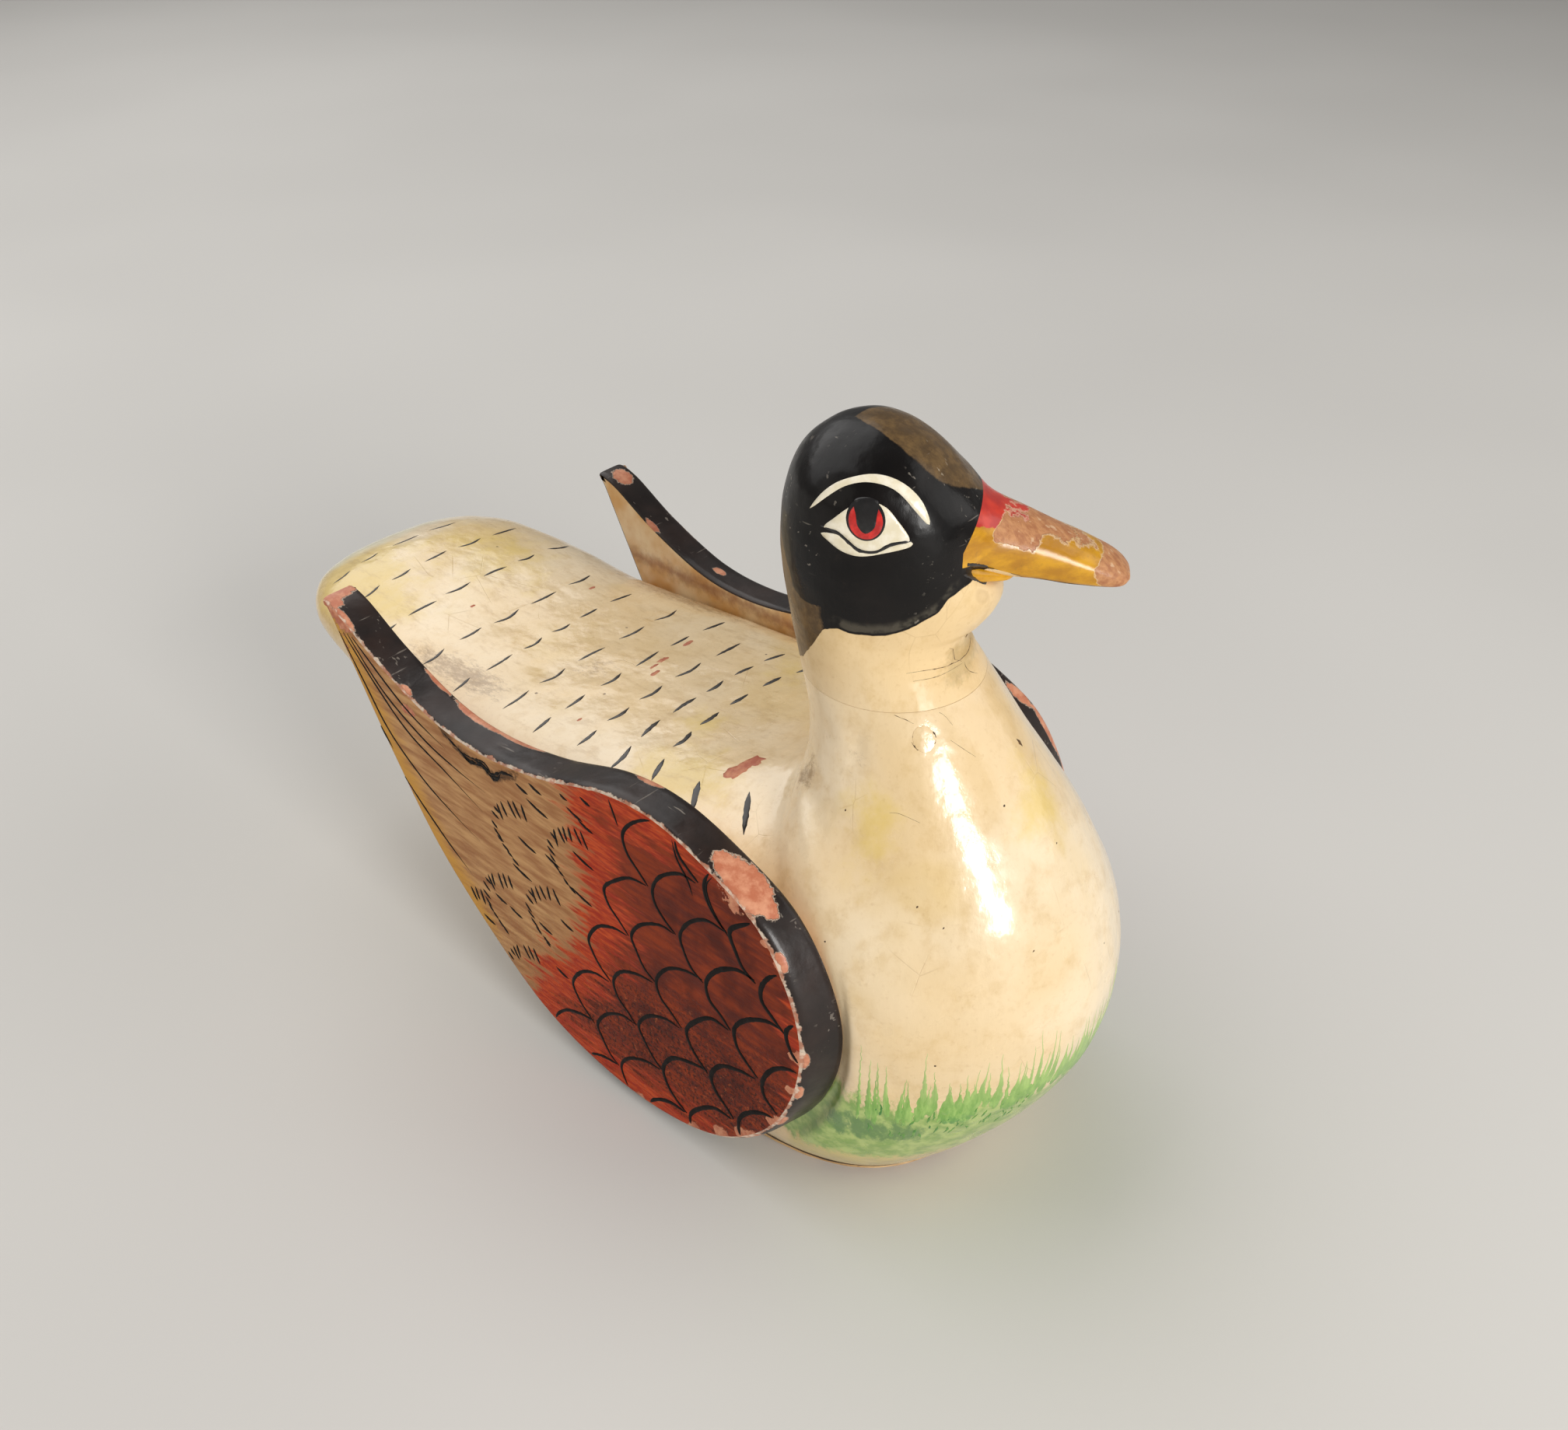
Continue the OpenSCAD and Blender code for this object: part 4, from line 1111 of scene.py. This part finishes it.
for sign, side_name in ((-1, "right"), (1, "left")):
    place = on_side(sign)
    white = Brush(place, 0.1, 0.03)
    for shape in (BROW, ALMOND, UNDER):
        white.patch(closed_curve(shape, 4), 0.6, lift=lift)
    white.object("eye_whites_" + side_name, "head", "painted_head", WHITE)
    ink = Brush(place, 0.13, 0.03)
    ink.patch(disc((IRIS[0], IRIS[1]), 3.55, 3.85), 0.5, lift=lift)
    ink.stroke([(0, v, w) for v, w in LID], [0.4, 0.75, 0.95, 0.8, 0.9, 0.6], step=0.5, tips=(0.1, 0.1))
    ink.object("eye_lines_" + side_name, "head", "painted_head", HEAD_INK)
    iris = Brush(place, 0.16, -0.02)
    iris.patch(disc((IRIS[0], IRIS[1] - 0.2), 3.1, 3.35), 0.5, lift=lift)
    iris.object("eye_iris_" + side_name, "head", "painted_head", SCARLET)
    pupil = Brush(place, 0.2, -0.06)
    pupil.patch(closed_curve(PUPIL, 4), 0.5, lift=lift)
    pupil.object("eye_pupil_" + side_name, "head", "painted_head", HEAD_INK)
    mouth = Brush(near(bill_tree), 0.12, 0.06)
    corner = np.array([(12.9, -11.6, 144.6), (11.2, -14.4, 143.0), (8.6, -17.6, 141.0), (7.2, -23, 138.7)])
    mouth.stroke(corner * (sign, 1, 1), [0.9, 0.9, 0.7, 0.35], step=0.4, tips=(0.05, 0.3))
    edge = np.array([(7.0, -24, 138.4), (6.2, -32, 136.8), (5.6, -39, 135.9)])
    mouth.stroke(edge * (sign, 1, 1), [0.25, 0.4, 0.25], step=0.8)
    mouth.object("mouth_line_" + side_name, "head", "painted_bill", BLACK_LINE)
    chin = Brush(near(head_tree), 0.12, 0.06)
    under = np.array([(13.6, -11.0, 142.6), (11.8, -14, 140.9), (9.0, -17.6, 139.2), (6.4, -20, 138.0)])
    chin.stroke(under * (sign, 1, 1), [0.6, 0.9, 0.8, 0.4], step=0.4, tips=(0.1, 0.3))
    chin.object("chin_line_" + side_name, "head", "painted_head", BLACK_LINE)

creases = Brush(near(head_tree), 0.03, 0.04)
for path, width in (([(-14.5, -3, 120.2), (-13, -9, 120.4), (-9, -13.6, 120.6)], 0.12),
                    ([(-15.5, -2, 122.3), (-13, -9.5, 122.2), (-7, -14, 121.6), (0, -15.5, 121.8)], 0.16),
                    ([(-6, -15.4, 124.2), (1, -16.4, 123.4), (7, -14.8, 123.8)], 0.13),
                    ([(-8.6, -14.1, 120.6), (-8.0, -15.0, 118.4), (-6.4, -16.4, 116.8)], 0.14),
                    ([(-12, -11.5, 124.6), (-10, -13, 122.8), (-9.2, -13.8, 121.2)], 0.1)):
    creases.stroke(path, width, step=0.5, wobble=0.35)
creases.object("throat_creases", "head", "painted_head", CRACK)

# ---------------------------------------------------------------- wings

OUTER_X = SEAT_X + WING_T


def wing_ring(amount, inward):
    loop = closed_curve(WING_POINTS, 12)
    loop = np.concatenate([loop, loop[:1]])
    loop = resample(loop, 1.0)[:-1]
    loop[:, 0] -= WING_FLARE * amount * (np.maximum(0, -loop[:, 0]) / WING_REACH) ** 3
    t = np.roll(loop, -1, 0) - np.roll(loop, 1, 0)
    t /= np.linalg.norm(t, axis=1)[:, None]
    return loop + inward * np.column_stack([-t[:, 1], t[:, 0]])


WING_EDGE = closed_curve(WING_POINTS, 8)
# Paint gone to the primer along the rim: (y, z, x, size along the rim, size across it)
RIM_CHIPS = [
    (-62.5, 85, 44.2, 7.5, 4.0), (-57.5, 87.5, 44.5, 3.5, 2.2), (-67, 82.4, 44, 4, 1.8),
    (12, 82.3, 39.9, 11, 0.9), (24, 82.6, 40.2, 8, 1.2), (38, 86, 40.0, 5, 0.8), (-32, 92.6, 39.8, 4, 1.1),
    (66.8, 98.6, 46.0, 3.2, 2.4), (68, 99.5, 42, 2.6, 3.5), (61, 97, 47.4, 4, 0.9), (62, 88, 46.6, 4, 1.4),
    (-74, 74, 47.0, 2.4, 1.0), (-79.5, 51.5, 47.3, 2.6, 1.0), (-78.6, 41, 47.2, 2.4, 0.8),
    (-74, 29, 47.2, 2.2, 1.2), (-66, 17.5, 47.1, 3.4, 1.2), (-58, 10.8, 46.8, 4, 1.5),
    (-48, 6, 47.2, 3, 1.0), (-30, 3.6, 47.3, 2.5, 0.8), (40, 86.8, 47.2, 2, 0.8), (-10, 87, 47.6, 2, 0.5),
    (10, 15.6, 47.3, 2.5, 0.8), (46, 56, 47.3, 3, 0.8)]
LEFT_RIM_CHIPS = [
    (-64.5, 85.5, 45.6, 4, 1.8), (-71, 77.5, 46.6, 7, 1.5), (-76.5, 66, 47, 6, 1.1),
    (63.5, 99.5, 43.5, 3, 2.6),
    (49, 91, 40, 3, 0.8), (28.4, 83.2, 43.4, 2.2, 1.1), (-79.5, 45, 47.3, 3, 0.9), (-72, 25, 47.2, 3, 1.1),
    (-58, 10.8, 46.8, 4, 1.5), (-40, 5, 47.2, 3, 0.9), (4, 84, 47.2, 3, 0.7), (52, 68, 47.3, 3, 0.8)]
# The same on the outer face: (y, z, size)
FACE_CHIPS = [
    (-62, 82.4, 1.4), (-70.5, 77.2, 1.0), (-74.2, 73.8, 1.5), (-77.2, 51.5, 1.2), (-76.6, 41, 1.3),
    (-71.4, 27.8, 1.7), (-62.5, 16.6, 2.2), (-56, 12, 2.2), (-48, 8, 1.4), (40.6, 81.4, 1.7),
    (38, 81.4, 1.2), (60.5, 94.8, 1.3), (64.5, 97.4, 1.3), (62, 92, 0.8)]
# Outline of the red part of the face, and the line of the burn, as (y, z)
BOUNDARY = [(-14.4, 95), (-14.4, 86.9), (-15.3, 81), (-18, 76), (-16, 69), (-18, 61), (-20, 57), (-15, 48),
            (-14, 42.5), (-6.5, 33.4), (3.4, 23.7), (6, 13), (8, 2), (-90, 0), (-90, 100)]
BURN = [(27.4, 81.9), (22.8, 79.2), (18.4, 77.8), (13.5, 78.6), (10.2, 76.8), (6, 79.6), (1.6, 81.5)]
# The board's edge from the inner face out: (depth, share of the flare, step in from the outline)
WING_PROFILE = [
    (0.12, 1.0, 1.6), (0.12, 1.0, 0.7), (0.3, 0.98, 0.25), (0.8, 0.95, 0.02), (1.8, 0.84, 0.0),
    (2.8, 0.72, 0.0), (3.8, 0.61, 0.0), (4.8, 0.5, 0.0), (5.8, 0.38, 0.0), (6.6, 0.28, 0.0),
    (7.3, 0.18, 0.06), (7.9, 0.1, 0.25), (8.3, 0.04, 0.55), (8.55, 0.0, 0.95), (8.6, 0.0, 1.5)]
INNER, RIM, FACE = range(3)


def wing(sign, name, node):
    rings = []
    for depth, amount, inward in WING_PROFILE:
        loop = wing_ring(amount, inward)
        n = len(loop)
        if 0.5 < depth < 8:
            wave = 0.22 * lumps(np.column_stack([np.full(n, depth), loop]), 11, 2.0 + sign)
            loop = wing_ring(amount, inward + wave.reshape(-1, 1))
        rings.append(np.column_stack([np.full(n, SEAT_X + depth), loop]))
    k = len(rings)
    points = list(np.concatenate(rings))
    faces = bridge(k, n)
    kinds = [INNER] * n + [RIM] * n * (k - 3) + [FACE] * n
    for j, kind in ((0, INNER), (k - 1, FACE)):
        loop = rings[j][:, 1:]
        grid = np.array([(u, v) for u in np.arange(loop[:, 0].min(), loop[:, 0].max(), 1.5)
                         for v in np.arange(loop[:, 1].min(), loop[:, 1].max(), 1.5)])
        grid = grid[signed_distance(grid, loop[::3]) > 1.2]
        edges = [(i, (i + 1) % n) for i in range(n)]
        verts, _, triangles, *_ = delaunay_2d_cdt(
            [Vector(v) for v in np.concatenate([loop, grid])], edges, [], 1, 1e-6)
        base = len(points)
        points += [np.array([rings[j][0, 0], v[0], v[1]]) for v in verts[n:]]
        faces += [tuple(j * n + i if i < n else base + i - n for i in t) for t in triangles]
        kinds += [kind] * len(triangles)
    mesh = new_mesh(name, np.array(points) * (sign, 1, 1), faces, 50, kinds)
    co = coords(mesh)
    across_x = np.abs(co[:, 0])
    side = co[:, 1:]
    rim = distance_to_line(side, WING_EDGE, True)
    inner_rim = np.where(across_x < SEAT_X + 0.5, rim + 1.0, 0)
    attribute(mesh, "rim", np.where(across_x > OUTER_X - 2, rim, inner_rim))
    attribute(mesh, "outer", OUTER_X - across_x)
    chip = np.full(len(co), -3.0)
    for cy, cz, cx, la, lx in (RIM_CHIPS if sign < 0 else LEFT_RIM_CHIPS):
        d = np.sqrt(((side - [cy, cz]) ** 2).sum(1) / la ** 2 + ((across_x - cx) / lx) ** 2)
        chip = np.maximum(chip, 1 - d)
    face = across_x > OUTER_X - 0.1
    for cy, cz, r in FACE_CHIPS:
        d = np.linalg.norm(side - [cy, cz], axis=1) / r
        chip = np.where(face, np.maximum(chip, 1 - d), chip)
    attribute(mesh, "chip", chip)
    attribute(mesh, "front", signed_distance(side, BOUNDARY))
    attribute(mesh, "burn", distance_to_line(side, BURN))
    attribute(mesh, "speckle", np.clip((52 - side[:, 1]) / 18, 0, 1) * 0.9 + 0.1)
    low_edge = distance_to_line(side, [(66, 96), (50, 64), (37, 42.5), (24, 28)])
    attribute(mesh, "ochre", np.clip(1 - low_edge / 13, 0, 1))
    # painted shade mask along the root of the inner face
    attribute(mesh, "root", np.clip(1 - np.abs(side[:, 1] - 80) / 7, 0, 1))
    obj = new_object(name, mesh, "decoy", "painted_wing", WING_INNER, WING_RIM, WING_FACE)
    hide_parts(node)
    return obj


# The scales: one arch repeated from a corner, along a row and up from row to row, as (y, z)
CORNER = np.array([-23.5, 36.8])
ALONG = np.array([-14.8, 9.4])
UP = np.array([-7.4, 18.2])
ARCH = np.array([(0, 0), (2.9, 2.3), (5.6, 5.4), (6.4, 9.8), (3.2, 14.6), (-2.2, 17.8), (-6.9, 18.3)])
LEAVES = [[(-27.9, 91.2), (-29.1, 88.2), (-30.5, 84.6)],
          [(-46.1, 90.4), (-47.3, 85.6), (-50, 81.7), (-51.3, 78.2)],
          [(-57, 86.2), (-55.2, 82.6), (-57, 77.4), (-61.6, 72.4)]]
LONG_LINES = [[(65, 92.6), (59.4, 81.7), (52.4, 67.9), (46, 59), (34, 48), (24.3, 41)],
              [(63.3, 93.2), (56.2, 81.6), (49, 70.8), (38.2, 62.2), (27.3, 57), (19, 54)],
              [(61.6, 93.6), (51.5, 83), (41.4, 74.6), (28.6, 69.3), (16.1, 64.1)],
              [(59.9, 93.8), (48.9, 82.6), (35.5, 75.4), (24.3, 72.3), (14.1, 70.6)],
              [(58.2, 93.6), (46.1, 84.8), (38, 80.2), (27.2, 76.4)],
              [(64.4, 90.5), (60, 84), (54, 73), (49, 66)]]
# Arches of short dashes, and single dashes with their length
FANS = [(6.5, 55), (-13, 58), (14, 30), (-2.2, 35.3), (8, 11), (26, 19)]
SINGLES = [(-0.7, 76.7, 7.4), (4.1, 63.6, 6.4), (7.5, 53.9, 6.9), (-2.3, 81.6, 4.4), (2.4, 79.3, 4.2),
           (10.9, 38.9, 4.8), (0.3, 40.3, 4.8), (-7.9, 46, 4.5), (-14.9, 69.7, 6.8), (-13.1, 58.5, 6.9),
           (-14.3, 81.4, 5.3), (-17.8, 79.7, 4.9), (-19.1, 86.5, 3.4), (-12.5, 84, 2.6), (-10.4, 86.2, 2.4),
           (16, 40, 4.5), (22, 30, 4.5), (-5, 63.5, 5), (-4, 29, 4.6)]


def wing_surface(sign):
    def find(p):
        return Vector((sign * OUTER_X, p[0], p[1])), Vector((sign, 0, 0))
    return find


class WingBrush(Brush):
    """Strokes given as (y, z) on the wing's flat outer face; ends outside the board are cut off."""

    def line(self, path, width, margin=1.3, **more):
        path = curve_through(path, 0.7)
        keep = signed_distance(path, WING_EDGE) > margin
        run = []
        for p, ok in zip(path, keep):
            if ok:
                run.append(p)
            elif len(run) > 3:
                break
            else:
                run = []
        if len(run) > 3:
            self.stroke(run, width, step=0.7, smooth=False, **more)


for sign, side_name in ((-1, "right"), (1, "left")):
    wing(sign, "wing_board_" + side_name, "wing_" + side_name)
    scales = WingBrush(wing_surface(sign), 0.08, 0.05)
    for j in range(-4, 3):
        for i in range(0, 7):
            if j == -3 and i == 0 or j == -4 and i < 3:
                continue
            jitter = rng.uniform(-0.5, 0.5, (len(ARCH), 2))
            jitter[0] = jitter[-1] = 0
            arch = CORNER + i * ALONG + j * UP + ARCH * rng.uniform(0.95, 1.04) + jitter
            bold = 1 + 0.25 * (i > 2)
            widths = np.array([0.75, 0.95, 1.05, 1.15, 1.0, 0.8]) * bold
            scales.line(arch, widths, tips=(0.08, 0.12), wobble=0.07)
    for leaf in LEAVES:
        scales.line(leaf, [0.5, 0.8, 0.6], wobble=0.07)
    scales.object("feather_scales_" + side_name, "decoy", "painted_wing", WING_INK)
    quills = WingBrush(wing_surface(sign), 0.07, 0.05)
    for path in LONG_LINES:
        quills.line(path, [0.45, 0.85, 0.85, 0.65, 0.3], margin=0.9, tips=(0.05, 0.3), wobble=0.08)
    for fy, fz in FANS:
        arch = curve_through(np.array([fy, fz]) + ARCH * 1.04, 1.0)
        at = 1.0
        while at < len(arch) - 2:
            p = arch[int(at)]
            past_top = at / len(arch) > 0.55
            length = rng.uniform(2.2, 3.2) + (1.6 if past_top else 0)
            lean = rng.uniform(-0.2, 0.2) + (0.6 if past_top else 0.0)
            d = np.array([-math.cos(0.6 + lean), -math.sin(0.6 + lean)])
            quills.line([p, p + d * length * 0.5 + [0.1, -0.1], p + d * length],
                        [0.6, 1.0, 0.95, 0.6], margin=1.0, tips=(0.15, 0.2), wobble=0.08)
            at += rng.uniform(1.9, 2.5)
    for sy, sz, length in SINGLES:
        d = np.array([-0.94, -0.28])
        p = np.array([sy, sz])
        quills.line([p, p + d * length * 0.5 + [0, -0.25], p + d * length], [0.5, 1.0, 1.05, 0.6],
                    margin=1.0, tips=(0.15, 0.15))
    for _ in range(5):
        scorch = np.array(BURN) + rng.uniform(-0.9, 0.9, (len(BURN), 2))
        from_end = rng.integers(0, 3)
        quills.line(scorch[from_end:from_end + 5], [0.3, 0.8, 0.4, 0.9, 0.3], margin=0.6, wobble=0.5)
    quills.object("feather_dashes_" + side_name, "decoy", "painted_wing", WING_INK)

# ---------------------------------------------------------------- finishes of the other parts

for node, material in (
        ("bottom_board", OAK), ("board_screws", BRASS), ("wing_pegs_left", PEG), ("wing_pegs_right", PEG),
        ("bill_peg", PEG), ("head_dowel", PEG), ("dowel_washer", BRASS), ("dowel_pin", STEEL),
        ("ballast_weight", IRON), ("ballast_screws", BRASS), ("line_tie_staple", BRASS),
        ("line_tie_ring", BRASS)):
    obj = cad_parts[node]
    if not obj.material_slots:
        obj.data.materials.append(material)
    for s in obj.material_slots:
        s.material = material

# ---------------------------------------------------------------- stage, lights and camera

def floor_material():
    m = Paint("studio_floor")
    base = m.mix(m.band(m.noise(400, 2), 0.3, 0.7), "CFCDC9", "D5D3CF")
    return m.done(base, 0.75, specular=0.2)


reach = 12000
corners = [(-reach, -reach, 0), (reach, -reach, 0), (reach, reach, 0), (-reach, reach, 0)]
mesh = new_mesh("studio_floor", corners, [(0, 1, 2, 3)])
floor = bpy.data.objects.new("studio_floor", mesh)
bpy.context.scene.collection.objects.link(floor)
mesh.materials.append(floor_material())


def area_light(name, where, aim, size, power, tint):
    data = bpy.data.lights.new(name, "AREA")
    data.shape = "RECTANGLE"
    data.size, data.size_y = size
    data.energy = power
    data.color = tint
    obj = bpy.data.objects.new(name, data)
    bpy.context.scene.collection.objects.link(obj)
    obj.location = where
    obj.rotation_euler = (Vector(aim) - Vector(where)).to_track_quat("-Z", "Y").to_euler()


area_light("window_key", (-0.29, -1.06, 0.47), (0, -0.08, 0.09), (0.3, 0.5), 9.0, (1.0, 0.985, 0.96))
area_light("front_fill", (0.75, -0.85, 0.7), (0, -0.05, 0.06), (0.9, 0.9), 3.5, (1.0, 0.985, 0.96))
area_light("back_soft", (-0.1, 0.8, 1.1), (0, 0, 0.05), (2.0, 1.5), 15, (1.0, 0.99, 0.98))
area_light("side_fill", (-1.25, 0.35, 0.5), (0, 0, 0.06), (0.9, 0.7), 1.3, (1.0, 0.92, 0.82))

world = bpy.data.worlds.new("studio")
bpy.context.scene.world = world
world.use_nodes = True
background = world.node_tree.nodes["Background"]
background.inputs["Color"].default_value = (1.0, 0.98, 0.95, 1)
background.inputs["Strength"].default_value = 0.21

camera_data = bpy.data.cameras.new("camera")
camera_data.lens = 35.44
camera_data.sensor_width = 36
camera_data.dof.use_dof = False
camera = bpy.data.objects.new("camera", camera_data)
bpy.context.scene.collection.objects.link(camera)
camera.location = (-0.2067, -0.2192, 0.2809)
camera.rotation_euler = [math.radians(v) for v in (55.32, 0.37, -48.23)]
bpy.context.scene.camera = camera
bpy.context.scene.view_settings.view_transform = "Standard"
